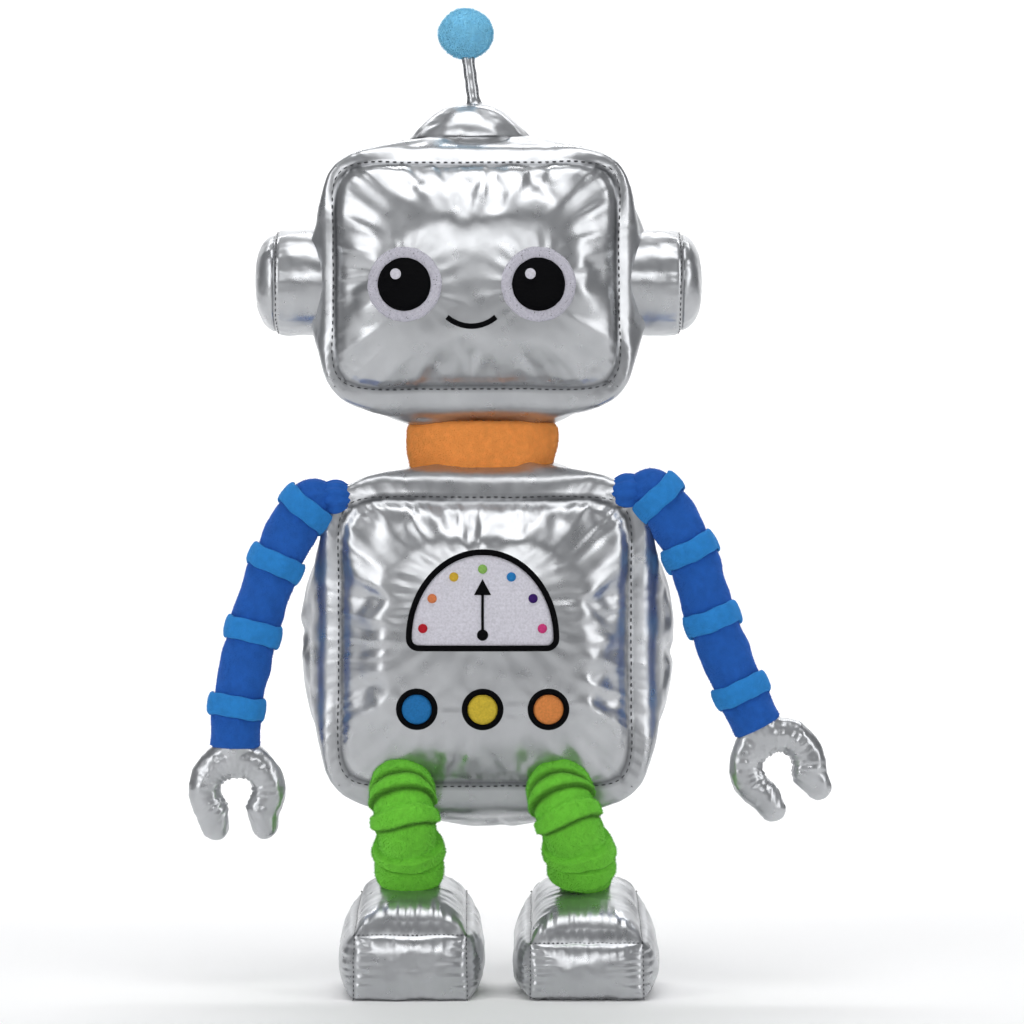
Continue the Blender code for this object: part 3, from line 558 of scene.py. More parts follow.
# ---------------------------------------------------------------------------------------------
# The head: cut and sewn as the body is, wider than tall, and flat where it sits on the collar.
# ---------------------------------------------------------------------------------------------
head_low, head_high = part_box("head_gusset")
head_low = [head_low[0] - 0.001, head_low[1], head_low[2] - 0.0042]
head_high = [head_high[0] + 0.001, head_high[1], head_high[2] + 0.0005]
head_middle = middle_between(head_low, head_high)
HEAD_PANEL = (head_middle[0] - 0.0760, head_middle[0] + 0.0740, head_middle[2] - 0.0570,
              head_middle[2] + 0.0615)
HEAD_SEAM_Y = 0.0340
HEAD_CORNER = 8.0
head_skin = boxy_skin("head_cover", head_low, head_high, HEAD_PANEL, seam_depth=HEAD_SEAM_Y,
                      crown=0.0165, power=(2.65, HEAD_CORNER), cells=(46, 22, 40))
stuff(head_skin, pressure=3.0, most=0.004)
subdivide(head_skin)
pucker(head_skin, length=0.52, pitch=0.0056, height=0.0009, fade=0.0065, dip=0.0009, seed=41)
for sign in (-1, 1):
    place = (head_middle[0] - 0.0015 + sign * 0.0339, head_middle[2] - 0.0045)
    radiate(head_skin, place, inner=(0.0195, 0.0195), fade=0.008, height=0.0003, count=20,
            seed=44 + sign)
head_nodes = ["head_front_panel", "head_gusset", "head_back_panel", "head_stuffing"]
finish_piece(head_skin, FOIL, "head", head_nodes)

# ---------------------------------------------------------------------------------------------
# Seams and thread: the panels are sewn with dark thread in short running stitches, which lie in
# the seam's dip. Foil gathers on both sides of every seam.
# ---------------------------------------------------------------------------------------------
STITCH_SPAN = 0.62         # the part of each pitch where the thread shows
STITCH_THREAD = 0.00024


def thread_material(name, colour):
    nodes = Nodes(name)
    fibre = nodes.bump(nodes.noise(3000, 2), 0.0001, 0.4)
    return nodes.cover({"Base Color": (*colour, 1), "Roughness": 0.6, "Normal": fibre})


DARK_THREAD = thread_material("dark sewing thread", (0.06, 0.062, 0.07))


class GeometryNodes(Nodes):
    """A small tree of geometry nodes with named numbers as inputs."""

    prefix = ""

    def __init__(self, name, numbers):
        self.tree = bpy.data.node_groups.new(name, "GeometryNodeTree")
        for way in ("INPUT", "OUTPUT"):
            self.tree.interface.new_socket("Geometry", in_out=way, socket_type="NodeSocketGeometry")
        for number in numbers:
            self.tree.interface.new_socket(number, in_out="INPUT", socket_type="NodeSocketFloat")
        self.given = self.tree.nodes.new("NodeGroupInput").outputs

    def finish(self, instances, material):
        """End in real geometry with its material."""
        real = self.add("GeometryNodeRealizeInstances", {"Geometry": instances})
        paint = self.add("GeometryNodeSetMaterial",
                         {"Geometry": real.outputs["Geometry"], "Material": material})
        self.add("NodeGroupOutput", {"Geometry": paint.outputs["Geometry"]})
        return self.tree


def grow(name, mesh, tree, values):
    """Run a tree on a mesh with these values of its named inputs, and keep the plain result."""
    obj = new_mesh_object(name, mesh)
    modifier = obj.modifiers.new("grow", "NODES")
    modifier.node_group = tree
    for item in tree.interface.items_tree:
        if item.item_type == "SOCKET" and item.in_out == "INPUT" and item.name in values:
            modifier[item.identifier] = values[item.name]
    bake_modifiers(obj)
    return obj


def running_stitch_tree():
    """Short round threads laid end to end along every edge path of a mesh."""
    nodes = GeometryNodes("running stitch", ("Pitch", "Length", "Radius"))
    given = nodes.given
    curve = nodes.add("GeometryNodeMeshToCurve", {"Mesh": given["Geometry"]})
    even = nodes.add("GeometryNodeResampleCurve",
                     {"Curve": curve.outputs["Curve"], "Length": given["Pitch"]}, mode="LENGTH")
    thread = nodes.add("GeometryNodeMeshUVSphere", {"Segments": 6, "Rings": 5, "Radius": 0.5})
    size = nodes.add("ShaderNodeCombineXYZ",
                     {"X": given["Radius"], "Y": given["Radius"], "Z": given["Length"]})
    way = nodes.add("GeometryNodeInputTangent", {})
    turn = nodes.add("FunctionNodeAlignRotationToVector", {"Vector": way.outputs["Tangent"]}, axis="Z")
    place = nodes.add("GeometryNodeInstanceOnPoints", {
        "Points": even.outputs["Curve"], "Instance": thread.outputs["Mesh"],
        "Rotation": turn.outputs["Rotation"], "Scale": size.outputs["Vector"],
    })
    return nodes.finish(place.outputs["Instances"], DARK_THREAD)


RUNNING_STITCH = running_stitch_tree()


def surface_of(obj):
    mesh = obj.data
    faces = [tuple(face.vertices) for face in mesh.polygons]
    return BVHTree.FromPolygons([tuple(point) for point in points_of(mesh)], faces)


def lay_on(surface, points, lift):
    """Move points onto the nearest place of a surface, and lift them off it."""
    laid = []
    for point in points:
        place, normal, _, _ = surface.find_nearest(Vector(point))
        laid.append(place + normal * lift)
    return laid


def stitch(name, paths, body, pitch=0.0037, thread=STITCH_THREAD):
    """Sew dark stitches along paths of points; a path that ends where it starts is closed."""
    points = []
    edges = []
    for path in paths:
        first = len(points)
        points += [tuple(point) for point in path]
        edges += [(k, k + 1) for k in range(first, len(points) - 1)]
    mesh = bpy.data.meshes.new(name)
    mesh.from_pydata(points, edges, [])
    values = {"Pitch": pitch, "Length": pitch * STITCH_SPAN, "Radius": thread * 2}
    finish_piece(grow(name, mesh, RUNNING_STITCH, values), DARK_THREAD, body)


def seam_loop(low, high, y, power):
    """A round-cornered loop in X and Z at one depth."""
    steps = 160
    loop = []
    for step in range(steps + 1):
        angle = 2 * math.pi * step / steps
        across = math.cos(angle)
        up = math.sin(angle)
        reach = (abs(across) ** power + abs(up) ** power) ** (1 / power)
        x = (low[0] + high[0]) / 2 + across / reach * (high[0] - low[0]) / 2
        z = (low[1] + high[1]) / 2 + up / reach * (high[1] - low[1]) / 2
        loop.append((x, y, z))
    return loop


def box_seams(name, obj, panel, middle_y, depth, power, body):
    """Stitch both seam loops of a sewn box and the slanting joins in its gusset."""
    surface = surface_of(obj)
    paths = []
    for sign in (-1, 1):
        loop = seam_loop((panel[0], panel[2]), (panel[1], panel[3]), middle_y + sign * depth, power)
        paths.append(lay_on(surface, loop, 0.0003))
    inset = (panel[1] - panel[0]) / 2 * (1 - 0.5 ** (1 / power))
    for x, way_x in ((panel[0], -1), (panel[1], 1)):
        for z, way_z in ((panel[2], -1), (panel[3], 1)):
            outward = Vector((way_x, 0, way_z)).normalized()
            laid = []
            for step in range(13):
                y = middle_y + 0.90 * depth * (2 * step / 12 - 1)
                point = Vector((x - way_x * inset, y, z - way_z * inset))
                hit = surface.ray_cast(point + outward * 0.05, -outward)
                if hit[0]:
                    laid.append(hit[0] + outward * 0.0003)
            paths.append(laid)
    stitch(name, paths, body)


box_seams("body_stitches", body_skin, TORSO_PANEL, torso_middle[1], TORSO_SEAM_Y, TORSO_CORNER,
          "torso")
box_seams("head_stitches", head_skin, HEAD_PANEL, head_middle[1], HEAD_SEAM_Y, HEAD_CORNER, "head")

# ---------------------------------------------------------------------------------------------
# Embroidery: the eyes, mouth, gauge and buttons are satin stitch, rows of glossy thread side by
# side over padding, so each patch stands a little proud and its threads catch the light.
# ---------------------------------------------------------------------------------------------
THREAD_PITCH = 0.00062
PATCH_SINK = 0.0008        # how far a patch goes into the foil under it


def satin_material(name, colour, gloss=0.12):
    """Thread of one colour, a little darker in places, with painted shade in the grooves between rows.
    """
    nodes = Nodes(name)
    shade = tuple(value * 0.78 for value in colour)
    tint = nodes.mix(nodes.between(nodes.noise(900, 3), 0.3, 0.7, 0, 1), shade, colour)
    # Painted shade in the grooves between rows of thread.
    gap_shade = nodes.between(nodes.waves("threads", THREAD_PITCH), -1, -0.4, 0.45, 0)
    rows = nodes.bump(nodes.waves("threads", THREAD_PITCH), 0.0002, 0.7)
    return nodes.cover({
        "Base Color": nodes.mix(gap_shade, tint, tuple(value * 0.4 for value in colour)),
        "Roughness": 0.5,
        "Specular IOR Level": gloss,
        "Normal": nodes.bump(nodes.noise(1500, 2), 0.0001, 0.3, rows),
    })


LAVENDER = satin_material("lavender white thread", (0.90, 0.88, 0.97))
BLACK = satin_material("black thread", (0.002, 0.002, 0.003), gloss=0.05)


def front_hit(surface, x, z):
    place, normal, _, _ = surface.ray_cast(Vector((x, -0.5, z)), Vector((0, 1, 0)))
    return place, normal


def laid_patch(name, surface, inner, outer, rows, lift, threads, sink=PATCH_SINK):
    """A padded patch between two loops of x and z, or from a middle point to a loop."""
    count = len(outer)
    solid = inner is None
    if solid:
        inner = [np.mean(outer, axis=0)] * count
    inner = np.array(inner)
    outer = np.array(outer)
    points = []
    facts = []
    for side in (1, 0):
        for row in range(rows + 1):
            part = row / rows
            crown = (1 - (2 * part - 1) ** 4) ** 0.5 if not solid else (1 - part ** 5) ** 0.5
            for k in range(count):
                x, z = inner[k] * (1 - part) + outer[k] * part
                place, normal = front_hit(surface, x, z)
                rise = lift * (0.25 + 0.75 * crown) if side else -sink
                points.append(place + normal * rise)
                facts.append(threads(x, z, k / count))
    faces = []
    layer = (rows + 1) * count
    for row in range(rows):
        for k in range(count):
            a = row * count + k
            b = row * count + (k + 1) % count
            faces.append((a, b, b + count, a + count))
            faces.append((layer + a, layer + a + count, layer + b + count, layer + b))
    last = rows * count
    for k in range(count):
        j = (k + 1) % count
        faces.append((last + k, last + j, layer + last + j, layer + last + k))
        if not solid:
            faces.append((k, layer + k, layer + j, j))
    return closed_piece(name, points, faces, {"threads": np.array(facts)}, weld=True)


def circle(x, z, radius, count=48, jag=0.0, seed=0):
    """A loop of points, its edge a little uneven where the threads turn back."""
    rng = np.random.default_rng(seed)
    loop = []
    for k in range(count):
        angle = 2 * math.pi * k / count
        r = radius + jag * rng.uniform(-1, 1)
        loop.append((x + r * math.cos(angle), z + r * math.sin(angle)))
    return loop


def radial_threads(radius):
    return lambda x, z, part: (0.5 - abs(part - 0.5)) * 2 * math.pi * radius


def level_threads(x, z, part):
    return z


def upright_threads(x, z, part):
    return x


def middle_of(node):
    low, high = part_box(node)
    return (low[0] + high[0]) / 2, (low[2] + high[2]) / 2, (high[0] - low[0]) / 2


# ---------------------------------------------------------------------------------------------
# The face: two round eyes, each a lavender ring with dark flecks round a big black pupil with a
# small glint, and a short smile in black thread.
# ---------------------------------------------------------------------------------------------
face = surface_of(head_skin)


def eye_ring_material():
    nodes = Nodes("flecked lavender thread")
    patchy = nodes.between(nodes.noise(900, 3), 0.3, 0.7, 0, 1)
    tint = nodes.mix(patchy, (0.72, 0.70, 0.80), (0.90, 0.88, 0.98))
    fleck = nodes.between(nodes.noise(1300, 1), 0.68, 0.72, 0, 0.85)
    flecked = nodes.mix(fleck, tint, (0.02, 0.02, 0.03))
    # Painted shade in the grooves between rows of thread.
    gap_shade = nodes.between(nodes.waves("threads", THREAD_PITCH), -1, -0.4, 0.5, 0)
    return nodes.cover({
        "Base Color": nodes.mix(gap_shade, flecked, (0.16, 0.15, 0.2)),
        "Roughness": 0.45,
        "Normal": nodes.bump(nodes.waves("threads", THREAD_PITCH), 0.0003, 0.8),
    })


RING = eye_ring_material()
for side in ("right", "left"):
    x, z, eye_radius = middle_of("eye_white_" + side)
    pupil_x, pupil_z, pupil_radius = middle_of("eye_pupil_" + side)
    ring_inner = circle(pupil_x, pupil_z, pupil_radius - 0.0006)
    ring_outer = circle(x, z, eye_radius, jag=0.0002, seed=5)
    ring = laid_patch("eye_ring_" + side, face, ring_inner, ring_outer, 6, 0.0011, radial_threads(0.017))
    finish_piece(ring, RING, "head", ["eye_white_" + side])
    pupil_edge = circle(pupil_x, pupil_z, pupil_radius, jag=0.0002, seed=6)
    pupil = laid_patch("eye_pupil_patch_" + side, face, None, pupil_edge, 8, 0.0016, level_threads)
    finish_piece(pupil, BLACK, "head", ["eye_pupil_" + side])
    glint_edge = circle(pupil_x - 0.0042, pupil_z + 0.0052, 0.0034, 24)
    glint = laid_patch("eye_glint_" + side, face, None, glint_edge, 3, 0.0023, upright_threads, -0.0012)
    finish_piece(glint, LAVENDER, "head")


def laid_strip(name, surface, path, width, lift, closed=False):
    """Satin stitch worked across a narrow band that follows a path of x and z."""
    middle = np.array(path)
    way = np.gradient(middle, axis=0)
    way /= np.linalg.norm(way, axis=1, keepdims=True)
    side_step = np.stack([-way[:, 1], way[:, 0]], 1) * width / 2
    left = middle + side_step
    right = middle - side_step
    count = len(middle)
    across = 6
    points = []
    facts = []
    run = np.concatenate([[0], np.cumsum(np.linalg.norm(np.diff(middle, axis=0), axis=1))])
    if closed:
        run = np.minimum(run, run[-1] - run)
    for k in range(count):
        for side in (1, 0):
            for m in range(across + 1) if side else range(across, -1, -1):
                part = m / across
                x, z = left[k] * (1 - part) + right[k] * part
                place, normal = front_hit(surface, x, z)
                crown = (1 - (2 * part - 1) ** 2) ** 0.5
                points.append(place + normal * (lift * (0.2 + 0.8 * crown) if side else -PATCH_SINK))
                facts.append(run[k])
    size = 2 * (across + 1)
    faces = ring_faces(count, size, closed)
    if not closed:
        faces.append(tuple(range(size)))
        faces.append(tuple(reversed(range((count - 1) * size, count * size))))
    return closed_piece(name, points, faces, {"threads": np.array(facts)})


def arc_path(x, z, radius, start, end, steps):
    path = []
    for step in range(steps + 1):
        angle = math.radians(start + (end - start) * step / steps)
        path.append((x + radius * math.cos(angle), z + radius * math.sin(angle)))
    return path


mouth_low, mouth_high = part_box("mouth")
SMILE_RADIUS = 0.0188
smile = arc_path((mouth_low[0] + mouth_high[0]) / 2, mouth_low[2] + 0.00125 + SMILE_RADIUS, SMILE_RADIUS,
                 229, 311, 24)
mouth = laid_strip("smile", face, smile, 0.0027, 0.0012)
finish_piece(mouth, BLACK, "head", ["mouth"])

# ---------------------------------------------------------------------------------------------
# The gauge and buttons on the chest: a pale half-round field in a black border, a needle that
# points up between seven coloured dots, and below it three coloured discs in black rings.
# ---------------------------------------------------------------------------------------------
chest = surface_of(body_skin)
gauge_low, gauge_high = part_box("gauge_border")
gauge_x = (gauge_low[0] + gauge_high[0]) / 2


def gauge_loop(inset):
    """A half ellipse on a straight base with round corners."""
    half = (gauge_high[0] - gauge_low[0]) / 2 - inset
    corner = 0.0062 - inset
    base = gauge_low[2] + inset
    rise = gauge_high[2] - gauge_low[2] - 2 * inset - corner
    loop = []
    for step in range(49):
        angle = math.pi * step / 48
        loop.append((gauge_x + half * math.cos(angle), base + corner + rise * math.sin(angle)))
    loop += arc_path(gauge_x - half + corner, base + corner, corner, 180, 270, 8)[1:]
    for step in range(1, 20):
        loop.append((gauge_x - half + corner + 2 * (half - corner) * step / 20, base))
    loop += arc_path(gauge_x + half - corner, base + corner, corner, 270, 360, 8)[:-1]
    return loop


field = laid_patch("gauge_panel", chest, None, gauge_loop(0.0020), 10, 0.0007, level_threads)
finish_piece(field, LAVENDER, "torso", ["gauge_field"])
border = laid_strip("gauge_rim", chest, gauge_loop(0.0013), 0.0030, 0.0015, closed=True)
finish_piece(border, BLACK, "torso", ["gauge_border"])

needle_low, needle_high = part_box("gauge_needle")
needle_x = (needle_low[0] + needle_high[0]) / 2
tip = needle_high[2]
hub = needle_low[2] + 0.0028
arrow_base = tip - 0.0083
arrow_half = 0.0047
arrow_edge = [(needle_x + arrow_half, arrow_base), (needle_x, tip + 0.0004),
              (needle_x - arrow_half, arrow_base), (needle_x, arrow_base)]
arrow = laid_patch("needle_arrow", chest, None, arrow_edge, 4, 0.0016, level_threads)
shaft_path = [(needle_x, hub + (tip - 0.0080 - hub) * k / 12) for k in range(13)]
shaft = laid_strip("needle_shaft", chest, shaft_path, 0.0016, 0.0016)
hub_patch = laid_patch("needle_hub", chest, None, circle(needle_x, hub, 0.0030, 28), 4, 0.0017,
                       level_threads)
finish_piece(arrow, BLACK, "torso", ["gauge_needle"])
finish_piece(shaft, BLACK, "torso")
finish_piece(hub_patch, BLACK, "torso")

DOT_COLOURS = {
    "red": (0.60, 0.015, 0.030), "orange": (0.88, 0.27, 0.10), "yellow": (0.83, 0.53, 0.05),
    "green": (0.33, 0.62, 0.14), "blue": (0.025, 0.26, 0.66), "purple": (0.05, 0.012, 0.16),
    "pink": (0.78, 0.06, 0.26),
}
for colour, rgb in DOT_COLOURS.items():
    x, z, radius = middle_of("gauge_dot_" + colour)
    dot_edge = circle(x, z, radius + 0.0001, 24)
    dot = laid_patch("dot_" + colour, chest, None, dot_edge, 4, 0.0016, level_threads)
    finish_piece(dot, satin_material(colour + " thread", rgb), "torso",
                 ["gauge_dot_" + colour])

BUTTON_COLOURS = {
    "blue": (0.025, 0.23, 0.60), "yellow": (0.84, 0.62, 0.06), "orange": (0.95, 0.33, 0.09),
}
for colour, rgb in BUTTON_COLOURS.items():
    x, z, radius = middle_of("button_" + colour)
    disc_edge = circle(x, z, radius + 0.0004, 36)
    disc = laid_patch("button_disc_" + colour, chest, None, disc_edge, 5, 0.0011, level_threads)
    finish_piece(disc, satin_material(colour + " button thread", rgb), "torso",
                 ["button_" + colour])
    ring_path = arc_path(x, z, 0.0091, 0, 360, 48)[:-1]
    rim = laid_strip("button_rim_" + colour, chest, ring_path, 0.0030, 0.0015, closed=True)
    finish_piece(rim, BLACK, "torso", ["button_ring_" + colour])

# ---------------------------------------------------------------------------------------------
# Velboa: the antenna's ball, the collar, the sleeves and the legs are short-pile plush. Its
# fibres are real here, so that they soften every edge. Each one is a thin closed spike.
# ---------------------------------------------------------------------------------------------
def velboa_material(name, colour, sheen):
    nodes = Nodes(name)
    patchy = nodes.between(nodes.noise(260, 4), 0.3, 0.7, 0, 1)
    pile = nodes.mix(patchy, tuple(value * 0.84 for value in colour), colour)
    # Painted shade: the pile darkens towards this where the mesh marks a hollow, under rolls and along
    # seams.
    hollow_shade = tuple(value * 0.22 for value in colour)
    nap = nodes.bump(nodes.noise(1400, 3), 0.0004, 0.55)
    return nodes.cover({
        "Base Color": nodes.mix(nodes.attribute("crease_shade"), pile, hollow_shade),
        "Roughness": 0.95,
        "Specular IOR Level": 0.15,
        "Sheen Weight": sheen,
        "Sheen Roughness": 0.45,
        "Sheen Tint": (*[min(1, value * 1.6 + 0.12) for value in colour], 1),
        "Normal": nodes.bump(nodes.noise(90, 2), 0.0006, 0.25, nap),
    })


def pile_tree(material):
    """Spikes that stand on a cloth, leaning a little at random."""
    nodes = GeometryNodes("pile", ("Density", "Length", "Radius", "Lean"))
    given = nodes.given
    scatter = nodes.add("GeometryNodeDistributePointsOnFaces",
                        {"Mesh": given["Geometry"], "Density": given["Density"], "Seed": 7})
    spike = nodes.add("GeometryNodeMeshCone", {
        "Vertices": 3, "Radius Top": 0.0, "Radius Bottom": given["Radius"], "Depth": given["Length"],
    }, fill_type="TRIANGLE_FAN")
    least = nodes.add("ShaderNodeMath", {0: given["Lean"], 1: -1.0}, operation="MULTIPLY")
    tilt = nodes.add("FunctionNodeRandomValue",
                     {"Min": least.outputs["Value"], "Max": given["Lean"], "Seed": 3},
                     data_type="FLOAT_VECTOR")
    spin = nodes.add("FunctionNodeEulerToRotation", {"Euler": tilt.outputs["Value"]})
    turn = nodes.add("FunctionNodeRotateRotation", {
        "Rotation": scatter.outputs["Rotation"], "Rotate By": spin.outputs["Rotation"],
    }, rotation_space="LOCAL")
    size = nodes.add("FunctionNodeRandomValue", {2: 0.6, 3: 1.15, "Seed": 5}, data_type="FLOAT")
    place = nodes.add("GeometryNodeInstanceOnPoints", {
        "Points": scatter.outputs["Points"], "Instance": spike.outputs["Mesh"],
        "Rotation": turn.outputs["Rotation"], "Scale": size.outputs[1],
    })
    return nodes.finish(place.outputs["Instances"], material)


def pile_on(obj, name, material, density, length, radius=0.00011):
    """The pile of a plush piece, as its own mesh."""
    values = {"Density": density, "Length": length, "Radius": radius, "Lean": 0.7}
    return grow(name, obj.data.copy(), pile_tree(material), values)


def finish_plush(obj, material, body, slot, nodes, fill, pile_name, *pile):
    """Finish a stuffed velboa piece and its pile, which is given as pile_on takes it."""
    fluff = pile_on(obj, pile_name, material, *pile)
    finish_piece(obj, material, body, nodes)
    finish_piece(fluff, material, body)


def swept(name, line, radii, facts=None):
    """A closed skin of rings along a line, with its ends drawn to points. radii has a row of
    distances for each place on the line, or one distance for the whole ring."""
    line = np.array(line, dtype=float)
    radii = np.array(radii, dtype=float)
    if radii.ndim == 1:
        radii = np.repeat(radii[:, None], 48, axis=1)
    count = radii.shape[1]
    way = np.gradient(line, axis=0)
    way /= np.linalg.norm(way, axis=1, keepdims=True)
    depth = np.array((0.0, 1.0, 0.0)) if abs(way[0][1]) < 0.9 else np.array((0.0, 0.0, 1.0))
    depth = depth - way * (way @ depth)[:, None]
    depth /= np.linalg.norm(depth, axis=1, keepdims=True)
    side = np.cross(way, depth)
    angle = full_turn(count)
    ring = (side[:, None, :] * np.cos(angle)[None, :, None]
            + depth[:, None, :] * np.sin(angle)[None, :, None])
    points = (line[:, None, :] + ring * radii[:, :, None]).reshape(-1, 3)
    rows = len(line)
    faces = ring_faces(rows, count, closed=False)
    points = np.concatenate([points, line[:1], line[-1:]])
    for k in range(count):
        j = (k + 1) % count
        faces.append((rows * count, j, k))
        faces.append((rows * count + 1, (rows - 1) * count + k, (rows - 1) * count + j))
    extra = {}
    for key, values in (facts or {}).items():
        flat = np.array(values, dtype=float).reshape(-1)
        extra[key] = np.concatenate([flat, flat[:1], flat[-1:]])
    return closed_piece(name, points, faces, extra)


def smooth_line(places, steps):
    """A smooth line through places, with points evenly along it."""
    places = [np.array(place, dtype=float) for place in places]
    ends = [2 * places[0] - places[1]] + places + [2 * places[-1] - places[-2]]
    dense = []
    for k in range(1, len(ends) - 2):
        p0, p1, p2, p3 = ends[k - 1:k + 3]
        for step in range(24):
            t = step / 24
            dense.append(0.5 * (2 * p1 + (p2 - p0) * t + (2 * p0 - 5 * p1 + 4 * p2 - p3) * t * t
                                + (3 * p1 - p0 - 3 * p2 + p3) * t ** 3))
    dense.append(places[-1])
    dense = np.array(dense)
    run = np.concatenate([[0], np.cumsum(np.linalg.norm(np.diff(dense, axis=0), axis=1))])
    even = np.linspace(0, run[-1], steps)
    return np.stack([np.interp(even, run, dense[:, k]) for k in range(3)], 1), even


def joint_place(name):
    for entry in frame["joints"]:
        if entry["name"] == name:
            return np.array(entry["pos_m"])
    raise ValueError(name)


# ---------------------------------------------------------------------------------------------
# The antenna: a stuffed foil dome gathered onto the head, a narrow foil stalk with a stitched
# edge at each side, and a soft ball of pale blue velboa.
# ---------------------------------------------------------------------------------------------
DOME_ROWS = 26
DOME_DEPTH = 0.62          # as a part of its width
dome_low, dome_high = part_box("antenna_dome")
dome_x = (dome_low[0] + dome_high[0]) / 2 - 0.0020
dome_y = (dome_low[1] + dome_high[1]) / 2
dome_top = dome_high[2] + 0.0008
dome_radius = 0.0312
dome_drop = 0.0185
dome_line = []
dome_radii = []
dome_rim_shade = []
for row in range(DOME_ROWS):
    part = row / (DOME_ROWS - 1)
    pleat = ripple(full_turn(72) / (2 * math.pi), 1.0, 1 / 30, 61)
    gather = 0.0011 * (pleat - 0.4) * bell(1 - part, 0.28)
    dome_line.append((dome_x, dome_y, dome_top - dome_drop * part - 0.0001))
    dome_radii.append(dome_radius * (0.12 + 0.88 * part ** 0.46) + gather)
    # Painted shade where the dome's rim gathers onto the head, and in the skirt below it.
    dome_rim_shade.append(np.full(72, bell(1 - part, 0.03)))
for below, crease_shade in ((0.0010, 0.3), (0.0100, 0.0)):
    dome_line.append((dome_x, dome_y, dome_top - dome_drop - below))
    dome_radii.append(np.full(72, dome_radius))
    dome_rim_shade.append(np.full(72, crease_shade))
dome = swept("dome", dome_line, dome_radii, {"crease_shade": dome_rim_shade})
lump(dome, 0.0006, 0.020, 62)
dome_points = points_of(dome.data)
dome_points[:, 1] = dome_y + (dome_points[:, 1] - dome_y) * DOME_DEPTH
set_points(dome.data, dome_points)
finish_piece(dome, FOIL, "head", ["antenna_dome"])

STALK_RADIUS = 0.0033
stalk_foot = joint_place("antenna_sway")
ball_low, ball_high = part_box("antenna_ball")
ball_middle = middle_between(ball_low, ball_high)
stalk_start = np.array((stalk_foot[0], stalk_foot[1], stalk_foot[2] - 0.001))
stalk_end = np.array((ball_middle[0] + 0.0008, ball_middle[1], ball_low[2] + 0.003))
stalk_line = [stalk_start + (stalk_end - stalk_start) * k / 23 for k in range(24)]
stalk_radii = []
angle = full_turn(48)
for k in range(24):
    along = k / 23
    edge_ridge = 0.0005 * np.exp(-((np.abs(np.sin(angle)) - 0.55) / 0.10) ** 2)
    foot = 0.0022 * math.exp(-along / 0.06)
    stalk_radii.append(STALK_RADIUS + foot - edge_ridge + 0.00015 * math.sin(along * 23))
stalk = swept("stalk", stalk_line, stalk_radii)
finish_piece(stalk, FOIL, "antenna", ["antenna_stalk"])
stalk_skin = surface_of(stalk)
stalk_paths = []
for aside in (-1, 1):
    path = []
    for place in stalk_line[2:-2]:
        path.append(place + np.array((aside * STALK_RADIUS * 0.72, -STALK_RADIUS * 0.70, 0)))
    stalk_paths.append(lay_on(stalk_skin, path, 0.0001))
stitch("stalk_stitches", stalk_paths, "antenna", pitch=0.0021, thread=0.00022)

BALL_BLUE = velboa_material("pale blue velboa", (0.28, 0.72, 1.0), 0.5)


def plush_ball(name, middle, across, high, seed):
    rows = 26
    line = []
    radii = []
    for row in range(rows):
        angle = math.pi * (row + 0.5) / rows
        line.append((middle[0], middle[1], middle[2] + high * math.cos(angle)))
        radii.append(across * math.sin(angle))
    obj = swept(name, line, radii)
    lump(obj, 0.0005, 0.016, seed)
    return obj


ball = plush_ball("soft_ball", ball_middle, (ball_high[0] - ball_low[0]) / 2 - 0.0008,
                  (ball_high[2] - ball_low[2]) / 2 - 0.0006, 63)
finish_plush(ball, BALL_BLUE, "antenna", "light_blue_pile", ["antenna_ball"], 0.7,
             "soft_ball_pile", 2900000, 0.0016, 0.00013)

# ---------------------------------------------------------------------------------------------
# The ears: a foil drum on each side of the head, closed by a domed cap. The seam between them
# lies in a dip, and both pieces pucker along it.
# ---------------------------------------------------------------------------------------------
for side, sign in (("right", -1), ("left", 1)):
    band_low, band_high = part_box("ear_band_" + side)
    cap_low, cap_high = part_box("ear_cap_" + side)
    _, middle_y, middle_z = middle_between(band_low, band_high)
    radius = (band_high[2] - band_low[2]) / 2
    inner_x = (band_high[0] if sign < 0 else band_low[0]) - sign * 0.010
    seam_x = band_low[0] if sign < 0 else band_high[0]
    end_x = cap_low[0] if sign < 0 else cap_high[0]
    reach = abs(seam_x - inner_x)
    cap_depth = abs(end_x - seam_x)
    pleat = ripple(full_turn(96) / (2 * math.pi), 1.0, 1 / 34, 71 + sign)
    line = []
    radii = []
    crease_shade = []
    for step in range(37):
        part = step / 36
        away = (1 - part) * reach
        swell = 0.0016 * math.sin(math.pi * part) ** 0.6
        dip = 0.0014 * bell(away, 0.0016)
        gather = 0.0009 * (pleat - 0.35) * math.exp(-away / 0.006) * (1 - math.exp(-away / 0.001))
        line.append((inner_x + sign * reach * part, middle_y, middle_z))
        radii.append(radius - 0.0006 + swell - dip + gather)
        # Painted shade along the dip of the seam between band and cap.
        crease_shade.append(np.full(96, bell(away, 0.0007)))
    for step in range(1, 27):
        turn = math.pi / 2 * step / 27
        away = cap_depth * math.sin(turn) * 1.2
        gather = 0.0008 * (np.roll(pleat, 5) - 0.35)
        gather = gather * math.exp(-away / 0.004) * (1 - math.exp(-away / 0.0009))
        out = cap_depth * math.sin(turn) ** 1.25 + 0.00005 * step
        line.append((seam_x + sign * out, middle_y, middle_z))
        radii.append((radius - 0.0018) * math.cos(turn) ** 0.62 + gather)
        crease_shade.append(np.full(96, bell(away, 0.0007)))
    ear = swept("ear_" + side, line, radii, {"crease_shade": crease_shade})
    lump(ear, 0.0005, 0.026, 73)
    finish_piece(ear, FOIL, "head", ["ear_band_" + side, "ear_cap_" + side])
    loop = []
    for k in range(97):
        turn = 2 * math.pi * k / 96
        loop.append((seam_x - sign * 0.0012, middle_y + radius * math.cos(turn),
                     middle_z + radius * math.sin(turn)))
    laid = lay_on(surface_of(ear), loop, 0.0002)
    stitch("ear_stitches_" + side, [laid], "head", pitch=0.0032, thread=0.00025)

